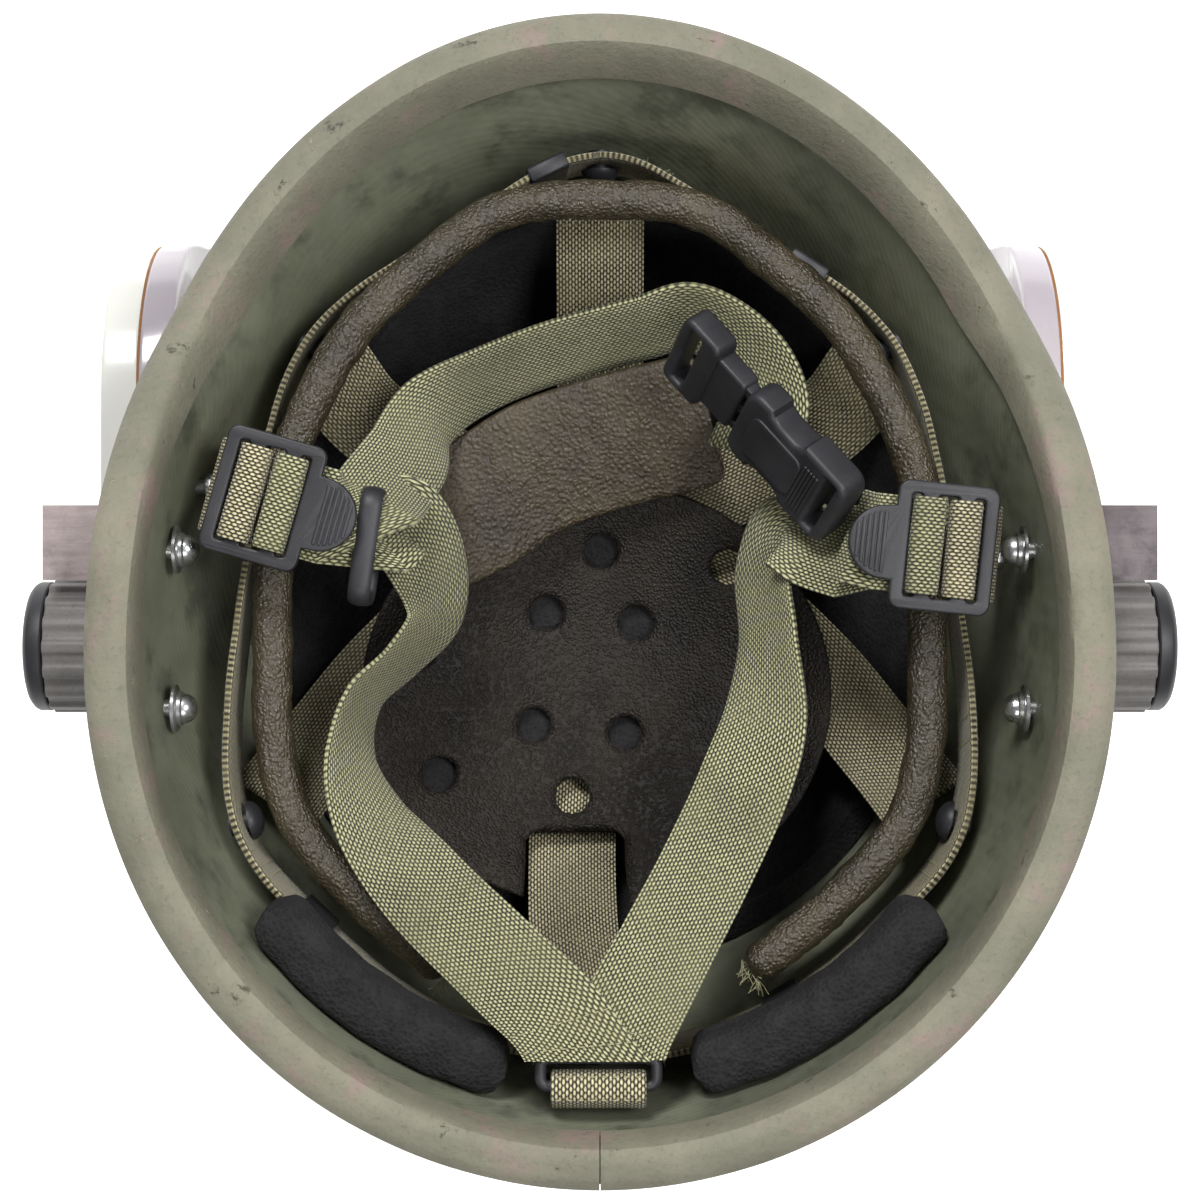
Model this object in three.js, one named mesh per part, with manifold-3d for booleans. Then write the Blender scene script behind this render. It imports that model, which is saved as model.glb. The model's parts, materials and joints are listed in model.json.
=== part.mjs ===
// Ballistic helmet with a raised visor, lying crown down so that its liner shows.
// Millimetres, +Z up out of the opening, brow towards +Y, origin under the middle of the helmet.
// Depth is measured down from the ear rim, into the shell.

import * as THREE from 'three';
import Module from 'manifold-3d';
import { mergeVertices } from 'three/addons/utils/BufferGeometryUtils.js';

const wasm = await Module();
wasm.setup();

// Driving dimensions
const play = 0.3;
const webWidth = 25;
const webThick = 1.4;

const dome = {
  crownDepth: 170,
  halfWidth: 122.5,
  frontReach: 157,
  rearReach: 126.5,
  centreY: -14,
  crownShiftY: 12,
  power: 2.3,
  wall: 8,
};

const rim = {
  browDepth: 45,
  browEnd: THREE.MathUtils.degToRad(55),
  earStart: THREE.MathUtils.degToRad(82),
  browFlare: 9.5,
  earFlare: 2,
  flareLength: 30,
  trimLeg: 10,
  trimLip: 2.3,
  trimThick: 1.6,
};

const pivot = { y: -12, depth: 40, studRadius: 5 };

const visor = {
  endReach: 45,
  straightReach: 70,
  noseReach: 190,
  outerThick: 10,
  innerThick: 9.3,
  outerHalf: 139,
  above: 25,
  below: 117,
  lowerCorner: 47,
  upperCorner: 18,
  bentShare: 0.88,
};

const bracket = { rearY: -34, frontY: 24, top: 22, bottom: 60, outer: 125, flange: 141, stop: 3 };
const arm = { inner: 125.5, thick: 3, halfWidth: 14.7, length: 69, screwReach: 57 };
const knob = { inner: 129, outer: 147, radius: 17.2, ribs: 16, cap: 5 };

const rimHeight = pivot.depth + visor.noseReach;
const lateral = new THREE.Vector3(1, 0, 0);
const up = new THREE.Vector3(0, 0, 1);

// Closed solids

// A closed geometry from points [x, y, z] and triangles, turned so that its faces look outwards.
function solid(points, faces) {
  let volume = 0;
  for (let i = 0; i < faces.length; i += 3) {
    const [a, b, c] = [points[faces[i]], points[faces[i + 1]], points[faces[i + 2]]];
    volume += a[0] * (b[1] * c[2] - b[2] * c[1]);
    volume += a[1] * (b[2] * c[0] - b[0] * c[2]);
    volume += a[2] * (b[0] * c[1] - b[1] * c[0]);
  }
  const index = volume < 0 ? faces.slice().reverse() : faces;
  const geometry = new THREE.BufferGeometry();
  geometry.setAttribute('position', new THREE.Float32BufferAttribute(points.flat(), 3));
  geometry.setIndex(index);
  geometry.computeVertexNormals();
  return geometry;
}

function middle(ring) {
  return [0, 1, 2].map((axis) => ring.reduce((sum, point) => sum + point[axis], 0) / ring.length);
}

// A skin over rings of equal length. It closes on itself as a loop, or ends in two fans.
function skin(rings, loop = false) {
  const count = rings[0].length;
  const points = rings.flat();
  const faces = [];
  const spans = loop ? rings.length : rings.length - 1;
  for (let i = 0; i < spans; i += 1) {
    const here = i * count;
    const next = ((i + 1) % rings.length) * count;
    for (let j = 0; j < count; j += 1) {
      const k = (j + 1) % count;
      faces.push(here + j, here + k, next + k, here + j, next + k, next + j);
    }
  }
  if (!loop) {
    const first = points.push(middle(rings[0])) - 1;
    const last = points.push(middle(rings[rings.length - 1])) - 1;
    const end = (rings.length - 1) * count;
    for (let j = 0; j < count; j += 1) {
      const k = (j + 1) % count;
      faces.push(first, k, j, last, end + j, end + k);
    }
  }
  return solid(points, faces);
}

function toManifold(geometry) {
  const bare = geometry.clone();
  for (const name of ['normal', 'uv']) {
    bare.deleteAttribute(name);
  }
  const merged = mergeVertices(bare, 1e-4);
  const vertProperties = new Float32Array(merged.attributes.position.array);
  const triVerts = new Uint32Array(merged.index.array);
  return new wasm.Manifold(new wasm.Mesh({ numProp: 3, vertProperties, triVerts }));
}

function fromManifold(manifold) {
  const mesh = manifold.getMesh();
  const geometry = new THREE.BufferGeometry();
  geometry.setAttribute('position', new THREE.Float32BufferAttribute(mesh.vertProperties, 3));
  geometry.setIndex(Array.from(mesh.triVerts));
  geometry.computeVertexNormals();
  return geometry;
}

function cut(geometry, ...tools) {
  const left = tools.reduce((body, tool) => body.subtract(toManifold(tool)), toManifold(geometry));
  return fromManifold(left);
}

function join(geometry, ...others) {
  return fromManifold(others.reduce((body, other) => body.add(toManifold(other)), toManifold(geometry)));
}

function mirrored(geometry) {
  const source = geometry.attributes.position;
  const points = [];
  for (let i = 0; i < source.count; i += 1) {
    points.push([-source.getX(i), source.getY(i), source.getZ(i)]);
  }
  const faces = geometry.index ? Array.from(geometry.index.array) : points.map((point, i) => i);
  return solid(points, faces);
}

function moved(geometry, x, y, z) {
  return geometry.clone().translate(x, y, z);
}

// A cylinder along X from x0 to x1 at the given y and depth.
function crossPin(x0, x1, y, depth, radius, sides = 20) {
  const pin = new THREE.CylinderGeometry(radius, radius, Math.abs(x1 - x0), sides);
  pin.rotateZ(Math.PI / 2);
  return moved(pin, (x0 + x1) / 2, y, rimHeight - depth);
}

function box(x0, x1, y0, y1, z0, z1) {
  const geometry = new THREE.BoxGeometry(x1 - x0, y1 - y0, z1 - z0);
  return moved(geometry, (x0 + x1) / 2, (y0 + y1) / 2, (z0 + z1) / 2);
}

// A flat plate from an outline in X and Y, standing on z and as thick as given.
function plate(outline, thick, z = 0, holes = []) {
  const shape = new THREE.Shape(outline);
  shape.holes = holes.map((hole) => new THREE.Path(hole));
  const geometry = new THREE.ExtrudeGeometry(shape, { depth: thick, bevelEnabled: false });
  return moved(geometry, 0, 0, z);
}

function circle(x, y, radius, sides) {
  return Array.from({ length: sides }, (unused, i) => {
    const angle = (2 * Math.PI * i) / sides;
    return new THREE.Vector2(x + radius * Math.cos(angle), y + radius * Math.sin(angle));
  });
}

function roundedRect(halfX, halfY, radius, steps = 4) {
  const points = [];
  const corners = [[1, 1, 0], [-1, 1, 1], [-1, -1, 2], [1, -1, 3]];
  for (const [signX, signY, quarter] of corners) {
    for (let i = 0; i <= steps; i += 1) {
      const angle = ((quarter + i / steps) * Math.PI) / 2;
      const x = signX * (halfX - radius) + radius * Math.cos(angle);
      const y = signY * (halfY - radius) + radius * Math.sin(angle);
      points.push(new THREE.Vector2(x, y));
    }
  }
  return points;
}

// The shell surface

function rimDepth(azimuth) {
  const turn = Math.abs(THREE.MathUtils.euclideanModulo(azimuth + Math.PI, 2 * Math.PI) - Math.PI);
  return rim.browDepth * (1 - THREE.MathUtils.smoothstep(turn, rim.browEnd, rim.earStart));
}

// A point on the outer face, at an azimuth from the brow towards +X.
function outerPoint(azimuth, depth) {
  const share = Math.min(Math.max(depth, 0) / dome.crownDepth, 1);
  const fullness = (1 - share ** dome.power) ** (1 / dome.power);
  const edge = rimDepth(azimuth);
  const near = THREE.MathUtils.clamp(1 - (depth - edge) / rim.flareLength, 0, 1);
  const flare = (rim.earFlare + (rim.browFlare - rim.earFlare) * (edge / rim.browDepth)) * near ** 2;
  const reach = Math.cos(azimuth) > 0 ? dome.frontReach : dome.rearReach;
  return new THREE.Vector3(
    Math.sin(azimuth) * (dome.halfWidth * fullness + flare),
    dome.centreY + dome.crownShiftY * share + Math.cos(azimuth) * (reach * fullness + flare),
    rimHeight - depth,
  );
}

// A point on or beside the wall: below the rim at this azimuth, and inward from the outer face.
function wallPoint(azimuth, below, inward) {
  const edge = rimDepth(azimuth);
  const depth = edge + Math.max(below, 0);
  const step = 0.02;
  const point = outerPoint(azimuth, depth);
  const along = outerPoint(azimuth + step, depth).sub(outerPoint(azimuth - step, depth));
  const down = outerPoint(azimuth, depth + 1).sub(outerPoint(azimuth, Math.max(depth - 1, edge)));
  const inside = along.clone().cross(down).normalize();
  if (inside.x * Math.sin(azimuth) + inside.y * Math.cos(azimuth) > 0) {
    inside.negate();
  }
  point.addScaledVector(inside, inward);
  point.addScaledVector(down.normalize(), Math.min(below, 0));
  return point.toArray();
}

const azimuths = Array.from({ length: 46 }, (unused, i) => (2 * Math.PI * i) / 46);

// Distances below the rim, from the edge to just short of the crown.
function rowsBelow(azimuth, start, count) {
  const full = dome.crownDepth - rimDepth(azimuth);
  return Array.from({ length: count }, (unused, i) => {
    const share = Math.sin((Math.PI / 2) * ((i + 1) / (count + 1)));
    return start + (full - start) * share;
  });
}

// One bowl-shaped solid between two distances inward, from start below the rim to the crown.
function bowl(startAt, outer, inner, rowCount) {
  const levels = (azimuth) => {
    const start = startAt(azimuth);
    return [...start, ...rowsBelow(azimuth, start[start.length - 1], rowCount)];
  };
  const total = levels(0).length;
  const face = (inward) => Array.from({ length: total }, (unused, row) => (
    azimuths.map((azimuth) => wallPoint(azimuth, levels(azimuth)[row], inward))
  ));
  return skin([...face(inner).reverse(), ...face(outer)]);
}

// A solid that fills the helmet out to an offset face, used to shape what sits on the shell.
function domeBlank(offset) {
  const rows = Array.from({ length: 12 }, (unused, row) => (
    azimuths.map((azimuth) => wallPoint(azimuth, [0, ...rowsBelow(azimuth, 0, 11)][row], -offset))
  ));
  return skin(rows);
}

// A pad on the inner wall between two azimuths and two distances below the rim.
function wallPad(azimuthA, azimuthB, belowA, belowB, outer, inner) {
  const share = (i, count) => i / (count - 1);
  const rings = Array.from({ length: 9 }, (unused, i) => {
    const azimuth = THREE.MathUtils.lerp(azimuthA, azimuthB, share(i, 9));
    const row = (j) => THREE.MathUtils.lerp(belowA, belowB, share(j, 4));
    const back = [0, 1, 2, 3].map((j) => wallPoint(azimuth, row(j), outer));
    const front = [3, 2, 1, 0].map((j) => wallPoint(azimuth, row(j), inner));
    return [...back, ...front];
  });
  return skin(rings);
}

// Straps

// Rows are x, y, depth, roll in degrees. A strap at roll 0 lies flat to the opening,
// and at roll 90 stands on edge.
function strapFrames(rows, { steps = 4, loop = false } = {}) {
  const places = rows.map(([x, y, depth]) => new THREE.Vector3(x, y, rimHeight - depth));
  const rolls = rows.map(([, , , roll]) => new THREE.Vector3(roll, 0, 0));
  const path = new THREE.CatmullRomCurve3(places, loop);
  const turning = new THREE.CatmullRomCurve3(rolls, loop);
  const total = (loop ? rows.length : rows.length - 1) * steps;
  return Array.from({ length: loop ? total : total + 1 }, (unused, i) => {
    const along = path.getTangent(i / total);
    const level = along.clone().cross(up).normalize();
    const rise = level.clone().cross(along);
    const angle = THREE.MathUtils.degToRad(turning.getPoint(i / total).x);
    const across = level.multiplyScalar(Math.cos(angle)).addScaledVector(rise, Math.sin(angle));
    return { place: path.getPoint(i / total), along, across };
  });
}

// A strap of oblong section along frames that hold a place, a direction and the way across.
function ribbon(frames, { width = webWidth, thick = webThick, loop = false } = {}) {
  return skin(frames.map(({ place, along, across }) => {
    const face = along.clone().cross(across).normalize();
    return [[1, 1], [-1, 1], [-1, -1], [1, -1]].map(([side, skinSide]) => (
      place.clone()
        .addScaledVector(across, (side * width) / 2)
        .addScaledVector(face, (skinSide * thick) / 2)
        .toArray()
    ));
  }), loop);
}

function strap(rows, options = {}) {
  return ribbon(strapFrames(rows, options), options);
}

// Frames of a strap folded in a slider: rows are the place along the pull and the height.
function foldedFrames({ centre, angle }, rows, side) {
  const pull = new THREE.Vector3(Math.cos(angle), Math.sin(angle), 0);
  const across = new THREE.Vector3(-Math.sin(angle), Math.cos(angle), 0).multiplyScalar(side);
  const origin = new THREE.Vector3(centre[0], centre[1], rimHeight - centre[2]);
  const places = rows.map(([run, height]) => (
    origin.clone().addScaledVector(pull, run).addScaledVector(up, height)
  ));
  return places.map((place, i) => ({
    place,
    along: places[Math.min(i + 1, places.length - 1)].clone().sub(places[Math.max(i - 1, 0)]).normalize(),
    across,
  }));
}

// The object

const looks = {
  paint: { color: 0x6e6c5a, roughness: 0.75, metalness: 0 },
  edging: { color: 0x8a857c, roughness: 0.7, metalness: 0 },
  steel: { color: 0x6a6461, roughness: 0.5, metalness: 0.8 },
  black: { color: 0x2a2a2c, roughness: 0.45, metalness: 0 },
  grey: { color: 0x81807f, roughness: 0.6, metalness: 0.1 },
  khaki: { color: 0x8e876d, roughness: 0.9, metalness: 0 },
  green: { color: 0x88876d, roughness: 0.9, metalness: 0 },
  leather: { color: 0x2a2319, roughness: 0.5, metalness: 0 },
  foam: { color: 0x1a1819, roughness: 1, metalness: 0 },
  white: { color: 0xebeae7, roughness: 0.25, metalness: 0 },
  violet: { color: 0xaca7a5, roughness: 0.3, metalness: 0 },
  nut: { color: 0xb0b0b0, roughness: 0.3, metalness: 1 },
};

const helmet = new THREE.Group();
const pieces = new THREE.Group();
helmet.add(pieces);

function add(name, geometry, look) {
  const mesh = new THREE.Mesh(geometry, new THREE.MeshStandardMaterial(looks[look]));
  mesh.name = name;
  pieces.add(mesh);
}

// Adds a piece and its mirror image in X. The given geometry is the one on the right.
function addPair(stem, geometry, look) {
  add(`${stem}_right`, geometry, look);
  add(`${stem}_left`, mirrored(geometry), look);
}

// Side brackets, bolts and knobs, built on the right and mirrored

const bolts = [
  { stem: 'nut_front', y: 13, depth: 35 },
  { stem: 'nut_rear', y: -28, depth: 35 },
];
const boltRadius = 2.5;
const boltTip = 123;
const washer = { radius: 6.2, thick: 1, standOff: 0.9 };

// The x of the inner wall beside a washer at y and depth, at the washer's closest edge.
function wallX(y, depth, radius) {
  const edges = [[radius, 0], [-radius, 0], [0, radius], [0, -radius]];
  return Math.min(...edges.map(([shiftY, shiftDepth]) => {
    const share = (depth + shiftDepth) / dome.crownDepth;
    const fullness = (1 - share ** dome.power) ** (1 / dome.power);
    const run = y + shiftY - dome.centreY - dome.crownShiftY * share;
    const azimuth = Math.acos(run / ((run > 0 ? dome.frontReach : dome.rearReach) * fullness));
    return wallPoint(azimuth, depth + shiftDepth - rimDepth(azimuth), dome.wall)[0];
  }));
}

function bracketSolid() {
  const low = rimHeight - bracket.bottom;
  const high = rimHeight - bracket.top;
  const body = box(112, bracket.outer, bracket.rearY, bracket.frontY, low, high);
  const ledge = box(118, bracket.flange, 5, bracket.frontY, high - bracket.stop, high);
  const stud = crossPin(bracket.outer - 1, knob.outer - knob.cap - 2, pivot.y, pivot.depth,
    pivot.studRadius);
  const whole = join(body, ledge, stud);
  const holes = bolts.map(({ y, depth }) => crossPin(100, boltTip + play, y, depth, boltRadius + play));
  return cut(whole, domeBlank(play), ...holes);
}

// A domed nut with its bolt, turned about X. The nut is inside the wall and the bolt passes out.
function nutSolid(y, depth) {
  const seat = wallX(y, depth, washer.radius) - play - washer.standOff;
  const height = 6.2;
  const tip = boltTip - seat + height;
  const profile = [[0, 0], [2.4, 0.6], [3.9, 2.2], [4.4, 4], [4.4, height - washer.thick - 0.2],
    [washer.radius, height - washer.thick], [washer.radius, height], [boltRadius, height],
    [boltRadius, tip], [0, tip]];
  const turned = new THREE.LatheGeometry(profile.map(([r, h]) => new THREE.Vector2(r, h)), 10);
  turned.rotateZ(-Math.PI / 2);
  return moved(turned, seat - height, y, rimHeight - depth);
}

function knobDrum() {
  const ribbed = Array.from({ length: knob.ribs * 4 }, (unused, i) => {
    const angle = (2 * Math.PI * i) / (knob.ribs * 4);
    const radius = knob.radius - (i % 4 < 2 ? 0 : 0.9);
    return new THREE.Vector2(radius * Math.cos(angle), radius * Math.sin(angle));
  });
  const depth = knob.outer - knob.cap - knob.inner - play;
  const drum = plate(ribbed, depth, 0, [circle(0, 0, pivot.studRadius + play, 20)]);
  drum.rotateY(Math.PI / 2);
  return moved(drum, knob.inner, pivot.y, rimHeight - pivot.depth);
}

function knobCap() {
  const start = knob.outer - knob.cap;
  const profile = [[0, 0], [knob.radius - 0.5, 0], [knob.radius - 0.5, 3.4], [knob.radius - 2, 5], [0, 5]];
  const turned = new THREE.LatheGeometry(profile.map(([r, h]) => new THREE.Vector2(r, h)), 24);
  turned.rotateZ(-Math.PI / 2);
  return moved(turned, start, pivot.y, rimHeight - pivot.depth);
}

for (const { stem, y, depth } of bolts) {
  addPair(stem, nutSolid(y, depth), 'nut');
}
addPair('bracket', bracketSolid(), 'steel');
addPair('knob_drum', knobDrum(), 'grey');
addPair('knob_cap', knobCap(), 'black');

// Shell and edging

const strapBolts = [{ side: -1, y: 30, inner: 102.4 }, { side: 1, y: 11.7, inner: 104.8 }];
const strapBolt = { depth: 52, radius: 2, collar: 3.5, collarThick: 2, tip: 117 };

function shellSolid() {
  const body = bowl(() => [0, rim.trimLeg, 22], 0, dome.wall, 7);
  const holes = bolts.map(({ y, depth }) => crossPin(-135, 135, y, depth, boltRadius + play));
  const strapHoles = strapBolts.map(({ side, y }) => (
    crossPin(side * 100, side * 135, y, strapBolt.depth, strapBolt.radius + play, 12)
  ));
  return cut(body, ...holes, ...strapHoles);
}

function trimSolid() {
  const inner = dome.wall + play;
  const profile = [
    [rim.trimLeg, -play], [-play, -play], [-play, inner], [rim.trimLeg, inner],
    [rim.trimLeg, inner + rim.trimThick], [0, inner + rim.trimThick],
    [-rim.trimLip, inner - 1], [-rim.trimLip, 1 - play], [0, -play - rim.trimThick],
    [rim.trimLeg, -play - rim.trimThick],
  ];
  return skin(azimuths.slice().reverse().map((azimuth) => (
    profile.map(([below, inward]) => wallPoint(azimuth, below, inward))
  )), true);
}

add('shell', shellSolid(), 'paint');
add('rim_trim', trimSolid(), 'edging');

// Visor: two laminated layers bent in a U, swung up so that the nose lies under the crown

const noseRise = 1.2;

// A point of the U at a share from -1 at the left end to 1 at the right end, inward from the
// outer face. Each side is straight at first and then a quarter of an ellipse up to the nose,
// which is cut flat where the ellipse would rise past the reach, so that the helmet can stand on it.
function bendPoint(share, inward) {
  const long = visor.noseReach - visor.straightReach + noseRise;
  const side = Math.sign(share);
  const bent = Math.min(Math.abs(share) / visor.bentShare, 1);
  const angle = (Math.PI / 2) * bent ** 0.9;
  const run = Math.max(Math.abs(share) - visor.bentShare, 0) / (1 - visor.bentShare);
  const ahead = visor.straightReach + long * Math.cos(angle);
  const flat = ahead >= visor.noseReach;
  const slope = Math.hypot(long * Math.sin(angle), visor.outerHalf * Math.cos(angle));
  const normalX = flat ? 0 : (long * Math.sin(angle)) / slope;
  const normalReach = flat ? 1 : (visor.outerHalf * Math.cos(angle)) / slope;
  const reach = Math.min(ahead, visor.noseReach) - run * (visor.straightReach - visor.endReach);
  return [side * (visor.outerHalf * Math.sin(angle) - inward * normalX), reach - inward * normalReach];
}

function cornerLoss(fromEnd, radius) {
  const short = Math.max(radius - fromEnd, 0);
  return radius - Math.sqrt(radius ** 2 - short ** 2);
}

function visorLayer(outer, inner) {
  const bendShares = Array.from({ length: 33 }, (unused, i) => (i / 16 - 1) * visor.bentShare);
  const endShares = [0, 0.2, 0.4, 0.6, 0.8].map((part) => 1 - part * (1 - visor.bentShare));
  const shares = [...endShares.map((share) => -share), ...bendShares, ...endShares.slice().reverse()];
  const places = shares.map((share) => bendPoint(share, 0));
  const lengthFrom = places.map((place, i) => (i === 0 ? 0
    : Math.hypot(place[0] - places[i - 1][0], place[1] - places[i - 1][1])));
  const total = lengthFrom.reduce((sum, piece) => sum + piece, 0);
  let run = 0;
  return skin(shares.map((share, i) => {
    run += lengthFrom[i];
    const fromEnd = Math.min(run, total - run);
    const front = pivot.y + visor.below - cornerLoss(fromEnd, visor.lowerCorner);
    const back = pivot.y - visor.above + cornerLoss(fromEnd, visor.upperCorner);
    return [[front, outer], [back, outer], [back, inner], [front, inner]].map(([y, inward]) => {
      const [x, reach] = bendPoint(share, inward);
      return [x, y, rimHeight - pivot.depth - reach];
    });
  }));
}

function visorInner() {
  const outer = visor.outerThick + play;
  const layer = visorLayer(outer, outer + visor.innerThick);
  const top = rimHeight - pivot.depth;
  const clear = top - arm.length - 3;
  const slots = [80, -140].map((from) => (
    box(from, from + 60, pivot.y - 40, pivot.y + 48, clear, top)
  ));
  return cut(layer, ...slots);
}

function armSolid() {
  const end = [0, 1].flatMap((turn) => Array.from({ length: 9 }, (unused, i) => {
    const angle = Math.PI * (turn + i / 8);
    const shift = turn === 0 ? 0 : -(arm.length - arm.halfWidth);
    return new THREE.Vector2(arm.halfWidth * Math.cos(angle), shift + arm.halfWidth * Math.sin(angle));
  }));
  const eye = circle(0, 0, pivot.studRadius + play, 20);
  const shank = circle(0, -arm.screwReach, 2.5 + play, 12);
  const blade = plate(end, arm.thick, 0, [eye, shank]);
  blade.applyMatrix4(new THREE.Matrix4().makeBasis(new THREE.Vector3(0, 1, 0), up, lateral));
  return moved(blade, arm.inner, pivot.y, rimHeight - pivot.depth);
}

function armScrew() {
  const height = pivot.depth + arm.screwReach;
  const head = crossPin(arm.inner - 2, arm.inner - play, pivot.y, height, 4.5);
  const shank = crossPin(arm.inner - 1, visor.outerHalf - 2, pivot.y, height, 2.5, 12);
  return join(head, shank);
}

const screwHole = [1, -1].map((side) => crossPin(side * 120, side * (visor.outerHalf - 1.5), pivot.y,
  pivot.depth + arm.screwReach, 2.5 + play, 12));
add('visor_outer', cut(visorLayer(0, visor.outerThick), ...screwHole), 'white');
add('visor_inner', visorInner(), 'violet');
addPair('visor_arm', armSolid(), 'steel');
addPair('visor_screw', armScrew(), 'nut');

// Liner: studs, suspension band, sweatband, crown straps and pad, foam

const studs = [
  ['stud_front', 0, 121, 80],
  ['stud_front_right', 79.5, 69.5, 75],
  ['stud_rear_right', 95, -59, 52],
  ['stud_rear', 0, -119.5, 50],
  ['stud_rear_left', -95, -59, 52],
  ['stud_front_left', -79.5, 69.5, 75],
];
const bandRoute = [
  [0, 121, 80, 90], [42, 99, 77, 90], [79.5, 69.5, 75, 90], [94.5, 6, 64, 90], [95, -59, 52, 90],
  [73, -87, 51, 90], [40, -111, 50, 90], [0, -119.5, 50, 90], [-40, -111, 50, 90],
  [-73, -87, 51, 90], [-95, -59, 52, 90], [-94.5, 6, 64, 90], [-79.5, 69.5, 75, 90], [-42, 99, 77, 90],
];
const band = { thick: 2, postRadius: 3, headRadius: 5.2, headPlay: 1.45 };
const postEnd = { clear: 0.7, perDepth: 0.022 };

// The band's outward direction at a stud, from its neighbours on the route.
function bandNormal(x, y) {
  const at = bandRoute.findIndex((row) => row[0] === x && row[1] === y);
  const before = bandRoute[(at + bandRoute.length - 1) % bandRoute.length];
  const after = bandRoute[(at + 1) % bandRoute.length];
  return new THREE.Vector2(before[1] - after[1], after[0] - before[0]).normalize();
}

// How far a stud's post runs from its place on the band out to just short of the inner wall,
// which leans in more the deeper it is.
function studGap(x, y, depth) {
  const normal = bandNormal(x, y);
  const centreY = dome.centreY + (dome.crownShiftY * depth) / dome.crownDepth;
  const inside = (run) => {
    const place = new THREE.Vector2(x, y - centreY).addScaledVector(normal, run);
    const reach = place.y > 0 ? dome.frontReach : dome.rearReach;
    const azimuth = Math.atan2(place.x / dome.halfWidth, place.y / reach);
    const wallAt = wallPoint(azimuth, depth - rimDepth(azimuth), dome.wall);
    return place.length() < Math.hypot(wallAt[0], wallAt[1] - centreY);
  };
  let run = 0;
  while (inside(run) && run < 30) {
    run += 0.1;
  }
  return run - postEnd.clear - depth * postEnd.perDepth;
}

// Turns a piece from the Y axis to the band's outward normal at a stud and puts it there.
function aimed(geometry, x, y, depth) {
  const normal = bandNormal(x, y);
  geometry.rotateZ(Math.atan2(-normal.x, normal.y));
  return moved(geometry, x, y, rimHeight - depth);
}

function studSolid(x, y, depth) {
  const gap = studGap(x, y, depth);
  const face = band.thick / 2 + band.headPlay;
  const profile = [[0, -face - 4], [4, -face - 3.2], [band.headRadius, -face - 1.2],
    [band.headRadius, -face], [band.postRadius, -face], [band.postRadius, gap], [0, gap]];
  const turned = new THREE.LatheGeometry(profile.map(([r, h]) => new THREE.Vector2(r, h)), 10);
  return aimed(turned, x, y, depth);
}

function bandSolid() {
  const body = strap(bandRoute, { thick: band.thick, loop: true, steps: 3 });
  const holes = studs.map(([, x, y, depth]) => (
    aimed(new THREE.CylinderGeometry(band.postRadius + play, band.postRadius + play, 12, 10), x, y, depth)
  ));
  return cut(body, ...holes);
}

const sweatHalf = [
  [0, 107.5, 60], [27, 104, 59], [48, 89, 58], [64, 74, 57], [77, 52, 55], [84.5, 31, 53],
  [86.5, 8, 51], [86.5, -14, 50], [86, -38, 50], [80.5, -58, 50], [63, -79, 50], [50, -90, 50],
  [40, -98, 50],
];
const sweat = { rollRadius: 5.5, skirtHalf: 1.2, skirtDrop: 15 };

function sweatSolid() {
  const mirroredHalf = sweatHalf.slice(1).reverse().map(([x, y, depth]) => [-x, y, depth, 0]);
  const rows = [...mirroredHalf, ...sweatHalf.map((row) => [...row, 0])];
  const neck = Math.asin(sweat.skirtHalf / sweat.rollRadius);
  const ring = Array.from({ length: 9 }, (unused, i) => {
    const angle = -Math.PI / 2 + neck + ((2 * Math.PI - 2 * neck) * i) / 8;
    return [sweat.rollRadius * Math.cos(angle), sweat.rollRadius * Math.sin(angle)];
  });
  const section = [[-sweat.skirtHalf, -sweat.skirtDrop], [sweat.skirtHalf, -sweat.skirtDrop], ...ring];
  return skin(strapFrames(rows, { steps: 2 }).map(({ place, across }) => (
    section.map(([side, height]) => (
      place.clone().addScaledVector(across, side).addScaledVector(up, height).toArray()
    ))
  )));
}

const pad = {
  centre: [-1, -26],
  halfX: 66,
  halfY: 60,
  depth: 111,
  dish: 19,
  thick: 4,
  holeRadius: 5,
  notch: { from: -21, to: 7, end: -66 },
};
const padHoles = [[0.3, 13.9], [36.6, 9.4], [-15.3, -3.8], [10.4, -6.7], [-19, -36], [7.2, -38.3],
  [-45.4, -49.4], [-7.9, -56], [-51.8, -14.3]];
const crownMiddle = [0, -15];

// How deep a strap or the pad hangs, dished about the middle of the crown.
function dished(x, y, deepest, dish) {
  return deepest - dish * (((x - crownMiddle[0]) ** 2 + (y - crownMiddle[1]) ** 2) / 65 ** 2);
}

function padSolid() {
  const spokes = Array.from({ length: 28 }, (unused, i) => (2 * Math.PI * i) / 28);
  const ring = (share, side) => spokes.map((angle) => {
    const x = pad.centre[0] + pad.halfX * share * Math.sin(angle);
    const y = pad.centre[1] + pad.halfY * share * Math.cos(angle);
    return [x, y, rimHeight - dished(x, y, pad.depth, pad.dish) + (side * pad.thick) / 2];
  });
  const shares = [0.35, 0.7, 1];
  const top = shares.map((share) => ring(share, 1));
  const bottom = shares.slice().reverse().map((share) => ring(share, -1));
  const body = skin([...top, ...bottom]);
  const holes = padHoles.map(([x, y]) => (
    moved(new THREE.CylinderGeometry(pad.holeRadius, pad.holeRadius, 40, 10).rotateX(Math.PI / 2),
      x, y, rimHeight - pad.depth)
  ));
  const { from, to, end } = pad.notch;
  return cut(body, ...holes, box(from, to, end - 40, end, 100, 160));
}

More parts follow.
